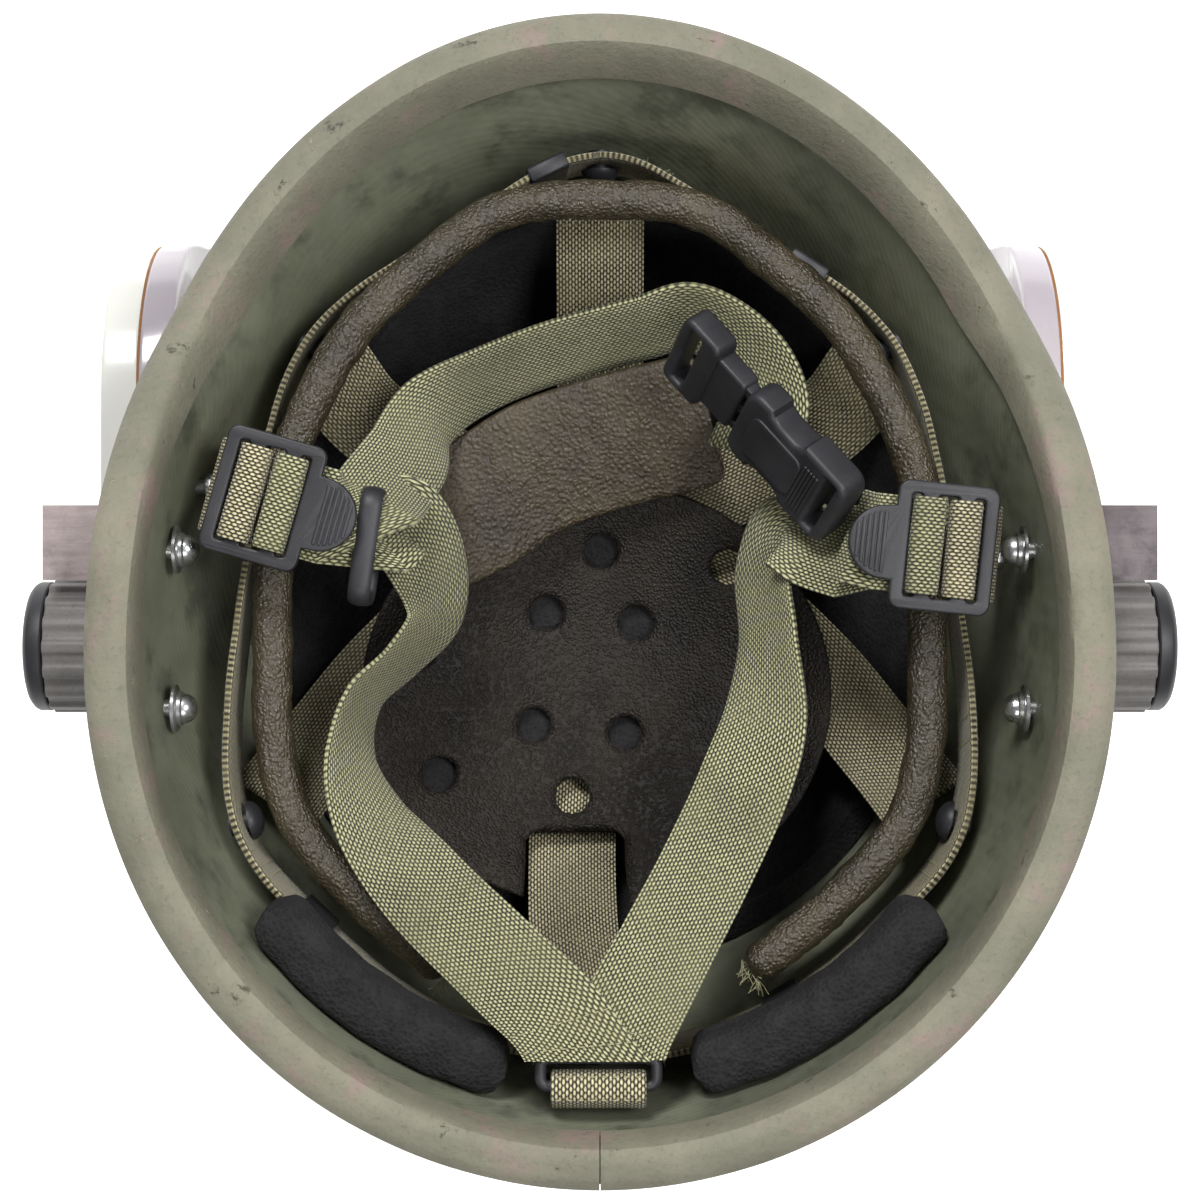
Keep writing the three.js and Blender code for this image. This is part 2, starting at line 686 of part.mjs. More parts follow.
// Crown straps from one side of the band, under the pad, to the other side.
const crownStraps = [
  ['crown_strap_a', [[-75.5, 64.5, 89.6, 0], [-66, 52, 95, 0], [-38, 34, 104, 0], [-20, 26, 109, 0],
    [0, 18, 111.8, 0], [20, 10, 111.8, 0], [38, 2, 110, 0], [62, -20, 102.5, 0], [76, -38, 90, 0],
    [82, -46, 80, 0], [88.5, -55.5, 67.2, 0]]],
  ['crown_strap_b', [[75.5, 64.5, 89.6, 0], [66, 52, 95, 0], [38, 34, 109.5, 0], [20, 26, 114.6, 0],
    [0, 18, 116.2, 0], [-20, 10, 116, 0], [-38, 2, 113.6, 0], [-62, -20, 102.5, 0], [-76, -38, 90, 0],
    [-82, -46, 80, 0], [-88.5, -55.5, 67.2, 0]]],
  ['crown_strap_c', [[0, 117, 93.4, 0], [0, 106, 95, 0], [0, 80, 103, 0], [0, 50, 114, 0],
    [-1, 18, 120.5, 0], [-4, -20, 119.5, 0], [-7, -50, 112, 0], [-8, -72, 102, 0], [-7, -95, 84, 0],
    [-3, -115.5, 64.4, 0]]],
];

add('suspension_band', bandSolid(), 'khaki');
for (const [name, x, y, depth] of studs) {
  add(name, studSolid(x, y, depth), 'black');
}
add('sweatband', sweatSolid(), 'leather');
add('crown_pad', padSolid(), 'leather');
for (const [name, route] of crownStraps) {
  add(name, strap(route, { steps: 3 }), 'khaki');
}

const foam = { startDepth: 106, backGap: 0.95, thick: 8 };
add('foam_liner', bowl((azimuth) => [foam.startDepth - rimDepth(azimuth)], dome.wall + foam.backGap,
  dome.wall + foam.backGap + foam.thick, 4), 'foam');
const [padFrom, padTo] = [127, 167].map(THREE.MathUtils.degToRad);
const rearPad = wallPad(padFrom, padTo, 22, 37, dome.wall + 2 * play, dome.wall + 16);
addPair('foam_rear', rearPad, 'foam');

// Chin harness: anchors, sliders, straps, buckle, cup and nape ring

const sliderPlan = { halfLength: 13, halfWidth: 16.5, barAt: 4.7, barHalf: 2, thick: 3, windowHalf: 13.2 };
const sliderLeft = { centre: [-86, 26, 28], angle: THREE.MathUtils.degToRad(-16) };
const sliderRight = { centre: [87.8, 13.3, 28], angle: THREE.MathUtils.degToRad(174) };

function sliderSolid({ centre, angle }) {
  const { halfLength, halfWidth, barAt, barHalf, thick, windowHalf } = sliderPlan;
  const outline = roundedRect(halfLength, halfWidth, 3, 3);
  const tab = circle(halfLength + 2, 0, 9.5, 16).filter((point) => point.x > halfLength);
  const edge = halfLength - 3.6;
  const windows = [[-edge, -barAt - barHalf], [-barAt + barHalf, barAt - barHalf], [barAt + barHalf, edge]];
  const holes = windows.map(([from, to]) => box(from, to, -windowHalf, windowHalf, -thick, thick));
  const frame = plate(outline, thick, -thick / 2);
  const thumb = plate([new THREE.Vector2(halfLength - 1, -9), ...tab.sort((a, b) => a.y - b.y),
    new THREE.Vector2(halfLength - 1, 9)], thick, -thick / 2);
  return cut(join(frame, thumb), ...holes).rotateZ(angle).translate(centre[0], centre[1], rimHeight - centre[2]);
}

// Rows of a strap folded over a bar, coming in under the frame and going back below itself.
function barFold(bar, far) {
  return [[far, -3], [bar + 5.5, -3], [bar + 3.7, -2], [bar + 3.4, 0], [bar + 3.4, 1.2], [bar + 2.6, 2.7],
    [bar, 3.1], [bar - 2.6, 2.7], [bar - 3.4, 1.2], [bar - 3.4, -1.2], [bar - 3.1, -3.6], [bar - 1.2, -5],
    [far, -5.1]];
}

// The webbing of an anchor comes up from its bolt, folds over the slider's bar and is sewn to itself.
function anchorSolid(frame) {
  const rise = [[-14.9, -29], [-15.1, -18], [-14.9, -9], [-13.4, -4.2]];
  const fold = barFold(sliderPlan.barAt, 11).slice(1).map(([run, height]) => [-run, height]);
  return ribbon(foldedFrames(frame, [...rise, ...fold], -1));
}

function harnessSolid(frame, inRows, outRows) {
  const fold = barFold(sliderPlan.barAt, 17);
  return ribbon([
    ...strapFrames(inRows, { steps: 3 }),
    ...foldedFrames(frame, fold, 1),
    ...strapFrames(outRows, { steps: 3 }),
  ]);
}

const chinRows = [[41, 40, 70, 20], [46, 54, 75, 30], [40, 68, 76, 42], [25.1, 77.9, 76.5, 50], [11.9, 74.9, 78.5, 52],
  [-7.8, 69.9, 80.3, 52], [-30.8, 61.4, 80, 52], [-45.2, 51.9, 73, 45], [-52, 37, 57, 25], [-58, 26, 38, 0]];
const napeLeftRows = [[-58, 17, 42, 180], [-53, 21, 50, 190], [-46, 10, 58, 215], [-44, -4, 62, 238],
  [-53, -16, 62, 248], [-63, -26, 60, 250], [-66, -40, 56, 246], [-61, -56, 49, 228],
  [-46, -74, 37, 200], [-26, -91, 21.5, 188], [-12, -103, 12, 181], [-3, -114.5, 9.9, 180]];
const releaseRows = [[64.5, 17, 37.5, 0], [67, 16, 33.5, 0]];
const napeRightRows = [[65, 12.5, 44, 180], [57, 15, 52, 165], [49, 18, 59, 140], [44, 9, 62, 122],
  [45, -10, 60, 124], [44, -32, 58, 150], [38, -50, 54, 172], [28, -70, 44, 180], [16, -90, 27.5, 180],
  [6.5, -106, 14, 180], [3, -114.5, 12, 180]];

const cupRows = [[-53, 18, 87.5, -8], [-36, 25.5, 91, -8], [-18, 37, 91, -13], [0, 43.5, 90, -15],
  [18, 48, 88, -15], [31, 51, 86, -15]];
const buckleFrame = { centre: [43.2, 44.8, 43.5], heading: THREE.MathUtils.degToRad(-49) };

function buckleBody() {
  const body = plate(roundedRect(19, 13, 3, 2), 9, -4.5);
  const bore = box(-20, -2, -9, 9, -2.3, 2.3);
  const bar = box(12, 15.4, -15, 15, -10, -1);
  return placeBuckle(cut(body, bore, bar), 12);
}

function buckleTongue() {
  const prong = box(-15, 8, -8.7, 8.7, -2, 2);
  const head = plate(roundedRect(7, 13, 3, 2), 8, -4).translate(-17, 0, 0);
  const slot = box(-20.5, -16.5, -10.5, 10.5, -6, 6);
  return placeBuckle(cut(join(head, prong), slot), -9.5);
}

// Puts a buckle half at its place along the buckle's long axis, nose down into the helmet.
function placeBuckle(geometry, along) {
  const { centre, heading } = buckleFrame;
  return geometry.translate(along, 0, 0)
    .rotateX(THREE.MathUtils.degToRad(60))
    .rotateY(THREE.MathUtils.degToRad(-14))
    .rotateZ(heading)
    .translate(centre[0], centre[1], rimHeight - centre[2]);
}

const ring = { centre: [-0.4, -118, 15], halfX: 16, halfY: 5, wire: 1.5 };

function ringSolid() {
  const outer = roundedRect(ring.halfX, ring.halfY, 2.5, 2);
  const inner = roundedRect(ring.halfX - 2 * ring.wire, ring.halfY - 2 * ring.wire, 1, 1);
  const flat = plate(outer, 2 * ring.wire, -ring.wire, [inner]);
  return moved(flat, ring.centre[0], ring.centre[1], rimHeight - ring.centre[2]);
}

const loopRows = [[6.6, -23], [8.9, -13], [9.2, -4], [7.2, 1.2], [5.4, 3.3], [1.6, 3.1], [0.3, 1],
  [0.3, -1.2], [1.6, -3.4], [4.8, -5.4], [6.4, -12], [4.2, -20]];
const loopFrame = { centre: ring.centre, angle: -Math.PI / 2 };

for (const { side, y, inner } of strapBolts) {
  const { depth, radius, collar, collarThick, tip } = strapBolt;
  const head = crossPin(side * inner, side * (inner + collarThick), y, depth, collar, 12);
  const shank = crossPin(side * (inner + 1), side * tip, y, depth, radius, 12);
  add(`strap_bolt_${side < 0 ? 'left' : 'right'}`, join(head, shank), 'nut');
}
add('strap_anchor_left', anchorSolid(sliderLeft), 'khaki');
add('strap_anchor_right', anchorSolid(sliderRight), 'khaki');
add('slider_left', sliderSolid(sliderLeft), 'black');
add('slider_right', sliderSolid(sliderRight), 'black');
add('harness_left', harnessSolid(sliderLeft, chinRows, napeLeftRows), 'green');
add('harness_right', harnessSolid(sliderRight, releaseRows, napeRightRows), 'green');
add('chin_cup', strap(cupRows, { width: 38, thick: 5, steps: 3 }), 'leather');
add('buckle_body', buckleBody(), 'black');
add('buckle_tongue', buckleTongue(), 'black');
add('nape_ring', ringSolid(), 'black');
add('nape_loop', ribbon(foldedFrames(loopFrame, loopRows, 1), { width: 24 }), 'khaki');

helmet.updateMatrixWorld(true);
const bounds = new THREE.Box3().setFromObject(helmet);
helmet.position.y = -(bounds.min.y + bounds.max.y) / 2;

export default helmet;
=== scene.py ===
import json
import math
import random
import bmesh
import bpy
import numpy as np
from mathutils import Matrix, Vector, noise
from mathutils.geometry import delaunay_2d_cdt

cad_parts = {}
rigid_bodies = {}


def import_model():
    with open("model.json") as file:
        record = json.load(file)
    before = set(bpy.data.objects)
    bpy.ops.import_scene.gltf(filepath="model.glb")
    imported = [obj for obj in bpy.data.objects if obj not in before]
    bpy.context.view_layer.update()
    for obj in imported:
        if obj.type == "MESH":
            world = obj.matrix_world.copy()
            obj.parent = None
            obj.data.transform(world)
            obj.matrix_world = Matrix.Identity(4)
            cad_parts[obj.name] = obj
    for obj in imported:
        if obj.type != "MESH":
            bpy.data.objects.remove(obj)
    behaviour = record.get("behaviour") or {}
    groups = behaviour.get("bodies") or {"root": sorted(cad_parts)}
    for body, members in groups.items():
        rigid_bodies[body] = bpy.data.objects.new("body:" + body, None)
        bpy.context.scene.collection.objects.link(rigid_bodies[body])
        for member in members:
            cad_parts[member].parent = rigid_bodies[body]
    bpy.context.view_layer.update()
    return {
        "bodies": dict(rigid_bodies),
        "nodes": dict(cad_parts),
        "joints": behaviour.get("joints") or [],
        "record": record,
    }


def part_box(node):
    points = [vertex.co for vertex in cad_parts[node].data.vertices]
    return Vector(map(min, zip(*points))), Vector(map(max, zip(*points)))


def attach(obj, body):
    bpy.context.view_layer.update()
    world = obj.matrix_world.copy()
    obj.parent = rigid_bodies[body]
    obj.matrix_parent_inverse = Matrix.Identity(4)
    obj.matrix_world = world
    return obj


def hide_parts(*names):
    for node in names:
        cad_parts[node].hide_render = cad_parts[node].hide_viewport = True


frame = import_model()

# Sizes are in millimetres, depths are measured down from the ear rim, as in the construction
pivot = dict(y=-12, depth=40)
swing = next(joint for joint in frame["joints"] if joint["name"] == "visor_swing")
rimHeight = swing["pos_m"][2] * 1000 + pivot["depth"]
shiftY = swing["pos_m"][1] * 1000 - pivot["y"]

dome = dict(crownDepth=170, halfWidth=122.5, frontReach=157, rearReach=126.5, centreY=-14,
            crownShiftY=12, power=2.3, wall=8)
rim = dict(browDepth=45, browEnd=math.radians(55), earStart=math.radians(82), browFlare=9.5,
           earFlare=2, flareLength=30, trimLeg=10, trimLip=2.3, trimThick=1.6)
play = 0.3


# Camera, light and floor

stage = dict(cameraHeight=600, frameWidth=292.7, sensor=36, floorSize=6.0, floorRough=0.8,
             floorTone=(0.93, 0.93, 0.92), worldTone=(1.0, 1.0, 1.0), worldStrength=0.2, floorGlow=0.7,
             lampAim=(0, 0, 0.15),
             lamps=(("keyLamp", (-0.3, 0.9, 1.25), 0.42, 16), ("fillLamp", (0.55, 0.15, 1.25), 0.4, 9),
                    ("backLamp", (0.05, -0.7, 1.3), 0.5, 5)))


def placeCamera():
    data = bpy.data.cameras.new("camera")
    data.sensor_width = stage["sensor"]
    data.lens = stage["sensor"] * stage["cameraHeight"] / stage["frameWidth"]
    data.clip_start = 0.01
    camera = bpy.data.objects.new("camera", data)
    camera.location = (0, shiftY / 1000, (rimHeight + stage["cameraHeight"]) / 1000)
    bpy.context.collection.objects.link(camera)
    bpy.context.scene.camera = camera


def softLight(name, place, size, power):
    data = bpy.data.lights.new(name, "AREA")
    data.shape = "SQUARE"
    data.size = size
    data.energy = power
    lamp = bpy.data.objects.new(name, data)
    lamp.location = place
    lamp.rotation_euler = (Vector(stage["lampAim"]) - Vector(place)).to_track_quat("-Z", "Y").to_euler()
    bpy.context.collection.objects.link(lamp)


def buildStage():
    placeCamera()
    for lamp in stage["lamps"]:
        softLight(*lamp)
    world = bpy.data.worlds.new("studio")
    world.use_nodes = True
    back = world.node_tree.nodes["Background"]
    back.inputs["Color"].default_value = (*stage["worldTone"], 1)
    back.inputs["Strength"].default_value = stage["worldStrength"]
    bpy.context.scene.world = world
    bpy.context.scene.view_settings.view_transform = "Standard"
    half = stage["floorSize"] / 2
    data = bpy.data.meshes.new("floor")
    data.from_pydata([(-half, -half, 0), (half, -half, 0), (half, half, 0), (-half, half, 0)], [], [(0, 1, 2, 3)])
    floor = bpy.data.objects.new("floor", data)
    bpy.context.collection.objects.link(floor)
    floorMaterial = bpy.data.materials.new("floorPale")
    floorMaterial.use_nodes = True
    shader = floorMaterial.node_tree.nodes["Principled BSDF"]
    shader.inputs["Base Color"].default_value = (*stage["floorTone"], 1)
    shader.inputs["Roughness"].default_value = stage["floorRough"]
    shader.inputs["Emission Color"].default_value = (1, 1, 1, 1)
    shader.inputs["Emission Strength"].default_value = stage["floorGlow"]
    data.materials.append(floorMaterial)
    print("stage ready")


buildStage()


# Small shader helpers: a wire is a socket that can be used in sums, a finish is one material

class Wire:
    def __init__(self, finish, socket):
        self.finish = finish
        self.socket = socket

    def sum(self, operation, other=None, flip=False):
        pair = (other, self) if flip else (self, other)
        values = {i: value for i, value in enumerate(pair) if value is not None}
        return self.finish.node("ShaderNodeMath", dict(operation=operation), values)

    def __add__(self, other): return self.sum("ADD", other)
    def __radd__(self, other): return self.sum("ADD", other)
    def __sub__(self, other): return self.sum("SUBTRACT", other)
    def __rsub__(self, other): return self.sum("SUBTRACT", other, True)
    def __mul__(self, other): return self.sum("MULTIPLY", other)
    def __rmul__(self, other): return self.sum("MULTIPLY", other)
    def __truediv__(self, other): return self.sum("DIVIDE", other)
    def __pow__(self, other): return self.sum("POWER", other)
    def sine(self): return self.sum("SINE")
    def floor(self): return self.sum("FLOOR")


def plain(red, green, blue):
    # a colour seen on screen, 0 to 255, as linear values
    def line(value):
        value = value / 255
        return value / 12.92 if value <= 0.04045 else ((value + 0.055) / 1.055) ** 2.4
    return (line(red), line(green), line(blue), 1)


class Finish:
    def __init__(self, name):
        self.material = bpy.data.materials.new(name)
        self.material.use_nodes = True
        self.tree = self.material.node_tree
        self.shader = self.tree.nodes["Principled BSDF"]

    def node(self, kind, settings=None, values=None, output=0):
        made = self.tree.nodes.new(kind)
        for key, value in (settings or {}).items():
            setattr(made, key, value)
        for key, value in (values or {}).items():
            self.feed(made.inputs[key], value)
        return Wire(self, made.outputs[output])

    def feed(self, socket, value):
        if isinstance(value, Wire):
            self.tree.links.new(value.socket, socket)
        else:
            socket.default_value = value

    def set(self, **values):
        for key, value in values.items():
            self.feed(self.shader.inputs[key.replace("_", " ")], value)

    def place(self, stretch=(1, 1, 1)):
        spot = self.node("ShaderNodeTexCoord", output=3)
        return self.node("ShaderNodeMapping", None, {"Vector": spot, "Scale": stretch})

    def uv(self):
        parts = self.node("ShaderNodeSeparateXYZ", None, {0: self.node("ShaderNodeTexCoord", output=2)})
        return parts, Wire(self, parts.socket.node.outputs[1])

    def cloud(self, scale, detail=4, rough=0.55, stretch=(1, 1, 1)):
        return self.node("ShaderNodeTexNoise", None, {"Vector": self.place(stretch), "Scale": scale,
                                                     "Detail": detail, "Roughness": rough})

    def cells(self, scale, feature="DISTANCE_TO_EDGE", stretch=(1, 1, 1)):
        return self.node("ShaderNodeTexVoronoi", dict(feature=feature),
                         {"Vector": self.place(stretch), "Scale": scale})

    def band(self, wire, low, high):
        # 0 below low, 1 above high
        return self.node("ShaderNodeMapRange", dict(interpolation_type="SMOOTHSTEP"),
                         {"Value": wire, "From Min": low, "From Max": high})

    def mix(self, share, low, high):
        made = self.node("ShaderNodeMix", dict(data_type="RGBA"), {0: share, 6: low, 7: high})
        return Wire(self, made.socket.node.outputs[2])

    def bump(self, height, strength, distance):
        # the relief is the last step of every finish
        relief = {"Height": height, "Strength": strength, "Distance": distance / 1000}
        self.set(Normal=self.node("ShaderNodeBump", None, relief))
        return self.material


# Surfaces of the shell, in millimetres

def ramp(value, low, high):
    share = min(max((value - low) / (high - low), 0), 1)
    return share * share * (3 - 2 * share)


def rimDepth(azimuth):
    turn = abs((azimuth + math.pi) % (2 * math.pi) - math.pi)
    return rim["browDepth"] * (1 - ramp(turn, rim["browEnd"], rim["earStart"]))


def outerPoint(azimuth, depth):
    share = min(max(depth, 0) / dome["crownDepth"], 1)
    fullness = (1 - share ** dome["power"]) ** (1 / dome["power"])
    edge = rimDepth(azimuth)
    near = min(max(1 - (depth - edge) / rim["flareLength"], 0), 1)
    flare = (rim["earFlare"] + (rim["browFlare"] - rim["earFlare"]) * edge / rim["browDepth"]) * near ** 2
    reach = dome["frontReach"] if math.cos(azimuth) > 0 else dome["rearReach"]
    return Vector((math.sin(azimuth) * (dome["halfWidth"] * fullness + flare),
                   dome["centreY"] + dome["crownShiftY"] * share + math.cos(azimuth) * (reach * fullness + flare),
                   rimHeight - depth))


def wallPoint(azimuth, below, inward):
    edge = rimDepth(azimuth)
    depth = edge + max(below, 0)
    place = outerPoint(azimuth, depth)
    along = outerPoint(azimuth + 0.02, depth) - outerPoint(azimuth - 0.02, depth)
    down = outerPoint(azimuth, depth + 1) - outerPoint(azimuth, max(depth - 1, edge))
    inside = along.cross(down).normalized()
    if inside.x * math.sin(azimuth) + inside.y * math.cos(azimuth) > 0:
        inside = -inside
    return place + inside * inward + down.normalized() * min(below, 0)


def lumps(x, y, z):
    return noise.noise(Vector((x, y, z)))


# Meshes: points are in millimetres of the construction and end up in metres in the row's frame

def finished(name, points, faces, material, body="helmet", stands=(), angle=40, smooth=True, uvs=None):
    data = bpy.data.meshes.new(name)
    data.from_pydata([(x / 1000, (y + shiftY) / 1000, z / 1000) for x, y, z in points], [], faces)
    if uvs is not None:
        layer = data.uv_layers.new(name="along")
        corners = np.array([uvs[i] for face in faces for i in face], dtype=np.float32)
        layer.data.foreach_set("uv", corners.ravel())
    return dressed(name, data, material, body, stands, angle, smooth)


def dressed(name, data, material, body="helmet", stands=(), angle=40, smooth=True):
    data.materials.clear()
    data.materials.append(material)
    if smooth:
        data.shade_smooth()
        data.set_sharp_from_angle(angle=math.radians(angle))
    piece = bpy.data.objects.new(name, data)
    bpy.context.collection.objects.link(piece)
    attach(piece, body)
    if stands:
        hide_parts(*stands)
    return piece


def turnedOut(data):
    work = bmesh.new()
    work.from_mesh(data)
    bmesh.ops.remove_doubles(work, verts=work.verts, dist=1e-7)
    bmesh.ops.recalc_face_normals(work, faces=work.faces)
    work.to_mesh(data)
    work.free()


def skin(rings, loop=False, capped=True):
    # quads over rings of equal length, closed round each ring
    count = len(rings[0])
    points = [point for ring in rings for point in ring]
    faces = []
    for i in range(len(rings) if loop else len(rings) - 1):
        here, ahead = i * count, ((i + 1) % len(rings)) * count
        for j in range(count):
            k = (j + 1) % count
            faces.append((here + j, here + k, ahead + k, ahead + j))
    if not loop and capped:
        last = (len(rings) - 1) * count
        faces.append(tuple(range(count - 1, -1, -1)))
        faces.append(tuple(range(last, last + count)))
    return points, outward(points, faces)


def outward(points, faces):
    spot = np.array([tuple(point) for point in points])
    volume = 0
    for face in faces:
        for i in range(1, len(face) - 1):
            volume += np.dot(spot[face[0]], np.cross(spot[face[i]], spot[face[i + 1]]))
    return faces if volume > 0 else [tuple(reversed(face)) for face in faces]


def turned(profile, sides, place, axis, roll=0):
    # a profile of radius and height, spun about an axis through a place
    axis = Vector(axis).normalized()
    side = axis.orthogonal().normalized()
    other = axis.cross(side)
    rings = []
    for radius, height in profile:
        ring = []
        for i in range(sides):
            angle = 2 * math.pi * i / sides + roll
            ring.append(Vector(place) + axis * height
                        + side * (max(radius, 0.01) * math.cos(angle)) + other * (max(radius, 0.01) * math.sin(angle)))
        rings.append(ring)
    return skin(rings)


def gathered(*parts):
    # several bodies of points and faces as one
    points, faces = [], []
    for some, around in parts:
        shift = len(points)
        points += list(some)
        faces += [tuple(i + shift for i in face) for face in around]
    return points, faces


def roundedPlate(outline, holes, thick, edge, steps=2):
    # a plate with rounded edges, standing on z = 0, as points and faces
    curve = bpy.data.curves.new("plateWork", "CURVE")
    curve.dimensions = "2D"
    curve.fill_mode = "BOTH"
    curve.extrude = (thick / 2 - edge)
    curve.bevel_depth = edge
    curve.bevel_resolution = steps
    curve.offset = -edge
    for path in [outline, *holes]:
        spline = curve.splines.new("POLY")
        spline.points.add(len(path) - 1)
        spline.use_cyclic_u = True
        for point, (x, y) in zip(spline.points, path):
            point.co = (x, y, 0, 1)
    work = bpy.data.objects.new("plateWork", curve)
    bpy.context.collection.objects.link(work)
    data = bpy.data.meshes.new_from_object(work.evaluated_get(bpy.context.evaluated_depsgraph_get()))
    bpy.data.objects.remove(work)
    turnedOut(data)
    points = [vert.co + Vector((0, 0, thick / 2)) for vert in data.vertices]
    faces = [tuple(face.vertices) for face in data.polygons]
    bpy.data.meshes.remove(data)
    return points, faces


def roundedRect(halfX, halfY, radius, steps=5):
    points = []
    for signX, signY, quarter in [(1, 1, 0), (-1, 1, 1), (-1, -1, 2), (1, -1, 3)]:
        for i in range(steps + 1):
            angle = (quarter + i / steps) * math.pi / 2
            points.append((signX * (halfX - radius) + radius * math.cos(angle),
                           signY * (halfY - radius) + radius * math.sin(angle)))
    return points


def circle(x, y, radius, sides):
    return [(x + radius * math.cos(2 * math.pi * i / sides), y + radius * math.sin(2 * math.pi * i / sides))
            for i in range(sides)]


def moved(part, change):
    points, faces = part
    return [change(Vector(point)) for point in points], faces


# Curves and webbing

def curveAt(rows, share, loop):
    # the same centripetal curve that the construction's straps follow
    count = len(rows)
    run = (count if loop else count - 1) * share
    at = math.floor(run)
    part = run - at
    if loop:
        at %= count
    elif at >= count - 1:
        at, part = count - 2, 1
    pick = (lambda i: rows[i % count]) if loop else (
        lambda i: 2 * rows[0] - rows[1] if i < 0 else 2 * rows[-1] - rows[-2] if i >= count else rows[i])
    a, b, c, d = [pick(at + i) for i in (-1, 0, 1, 2)]
    before, mid, after = [float(np.dot(q - p, q - p)) ** 0.25 for p, q in ((a, b), (b, c), (c, d))]
    mid = mid if mid >= 1e-4 else 1
    before = before if before >= 1e-4 else mid
    after = after if after >= 1e-4 else mid
    start = ((b - a) / before - (c - a) / (before + mid) + (c - b) / mid) * mid
    end = ((c - b) / mid - (d - b) / (mid + after) + (d - c) / after) * mid
    return b + start * part + (3 * (c - b) - 2 * start - end) * part ** 2 + (2 * (b - c) + start + end) * part ** 3


def strapFrames(rows, steps=9, loop=False):
    # rows are x, y, depth and roll in degrees
    places = [np.array([x, y, rimHeight - depth]) for x, y, depth, roll in rows]
    rolls = [np.array([row[3], 0.0, 0.0]) for row in rows]
    total = (len(rows) if loop else len(rows) - 1) * steps
    frames = []
    for i in range(total if loop else total + 1):
        share = i / total
        place = Vector(curveAt(places, share, loop))
        low, high = (share - 1e-4, share + 1e-4) if loop else (max(share - 1e-4, 0), min(share + 1e-4, 1))
        along = (Vector(curveAt(places, high % 1 if loop else high, loop))
                 - Vector(curveAt(places, low % 1 if loop else low, loop))).normalized()
        level = along.cross(Vector((0, 0, 1))).normalized()
        angle = math.radians(curveAt(rolls, share, loop)[0])
        frames.append((place, along, level * math.cos(angle) + level.cross(along) * math.sin(angle)))
    return frames


def foldFrames(centre, angle, rows, side, fine=3):
    # frames of a strap folded in a slider: rows are the place along the pull and the height
    pull = Vector((math.cos(angle), math.sin(angle), 0))
    across = Vector((-math.sin(angle), math.cos(angle), 0)) * side
    origin = Vector((centre[0], centre[1], rimHeight - centre[2]))
    spots = [np.array([run, height, 0.0]) for run, height in rows]
    total = (len(rows) - 1) * fine
    dense = [curveAt(spots, i / total, False) for i in range(total + 1)]
    places = [origin + pull * float(run) + Vector((0, 0, float(height))) for run, height, rest in dense]
    return [(place, (places[min(i + 1, total)] - places[max(i - 1, 0)]).normalized(), across)
            for i, place in enumerate(places)]


webbing = dict(faceSteps=6, edgeSteps=2)


def webRing(width, thick, cup=0.0):
    # points across and up of a flat woven section with rounded selvedges
    steps = webbing["faceSteps"]
    half, radius = width / 2, thick / 2
    ring = []
    for i in range(steps + 1):
        across = half - radius - (width - thick) * i / steps
        ring.append((across, radius - cup * (1 - (2 * across / width) ** 2)))
    for i in range(1, webbing["edgeSteps"] + 1):
        angle = math.pi / 2 + math.pi * i / (webbing["edgeSteps"] + 1)
        ring.append((-half + radius + radius * math.cos(angle), radius * math.sin(angle)))
    for i in range(steps + 1):
        across = -half + radius + (width - thick) * i / steps
        ring.append((across, -radius - cup * (1 - (2 * across / width) ** 2)))
    for i in range(1, webbing["edgeSteps"] + 1):
        angle = -math.pi / 2 + math.pi * i / (webbing["edgeSteps"] + 1)
        ring.append((half - radius + radius * math.cos(angle), radius * math.sin(angle)))
    return ring


def web(frames, width=25, thick=1.4, loop=False, cup=0.0, ripple=0.25, seed=0):
    # a webbing body with its own map: across and along, in millimetres
    section = webRing(width, thick, cup)
    rings, uvs = [], []
    length = 0
    for i, (place, along, across) in enumerate(frames):
        face = along.cross(across).normalized()
        if i:
            length += (place - frames[i - 1][0]).length
        ring = []
        for side, lift in section:
            wave = ripple * lumps(side * 0.09, length * 0.06, seed) if ripple else 0
            ring.append(place + across * side + face * (lift + wave))
            uvs.append((side, length))
        rings.append(ring)
    points, faces = skin(rings, loop)
    return points, faces, uvs


# Finishes

shades = dict(
    shellInside=((104, 107, 89), (128, 131, 111), (70, 74, 61)),
    shellOutside=((100, 103, 82), (120, 122, 98), (78, 82, 62)),
    # khaki and green: the pale tone is the painted highlight on the weave's floats as well as pale fibres, the
    # near-black tone is the painted shade between the floats as well as soil
    edging=((112, 111, 95), (132, 129, 112), (82, 83, 68)), khaki=((144, 136, 102), (232, 222, 184), (24, 20, 10)),
    green=((128, 127, 90), (212, 210, 164), (22, 24, 12)), leather=((54, 47, 32), (80, 71, 52), (28, 23, 14)),
    cup=((50, 43, 30), (84, 73, 55), (24, 19, 12)), pad=((27, 23, 19), (44, 38, 32), (16, 13, 10)),
    foam=((27, 26, 28), (46, 44, 46), (12, 11, 12)), plastic=((36, 36, 40), (58, 58, 63), (22, 22, 25)),
    knob=((98, 95, 93), (130, 126, 122), (60, 58, 56)), plate=((128, 116, 116), (200, 186, 184), (70, 62, 63)),
    darkPlate=((72, 66, 68), (110, 102, 104), (46, 42, 44)), bolt=((176, 178, 180), (214, 214, 214), (120, 120, 120)),
    white=((226, 226, 220), (234, 233, 228), (200, 198, 188)),
    violet=((172, 164, 172), (196, 188, 192), (136, 128, 136)),
    bond=((128, 84, 44), (168, 116, 64), (64, 36, 20)), thread=((160, 156, 122), (190, 186, 152), (110, 106, 78)))


def started(name, tones):
    return Finish(name), *[plain(*tone) for tone in shades[tones]]


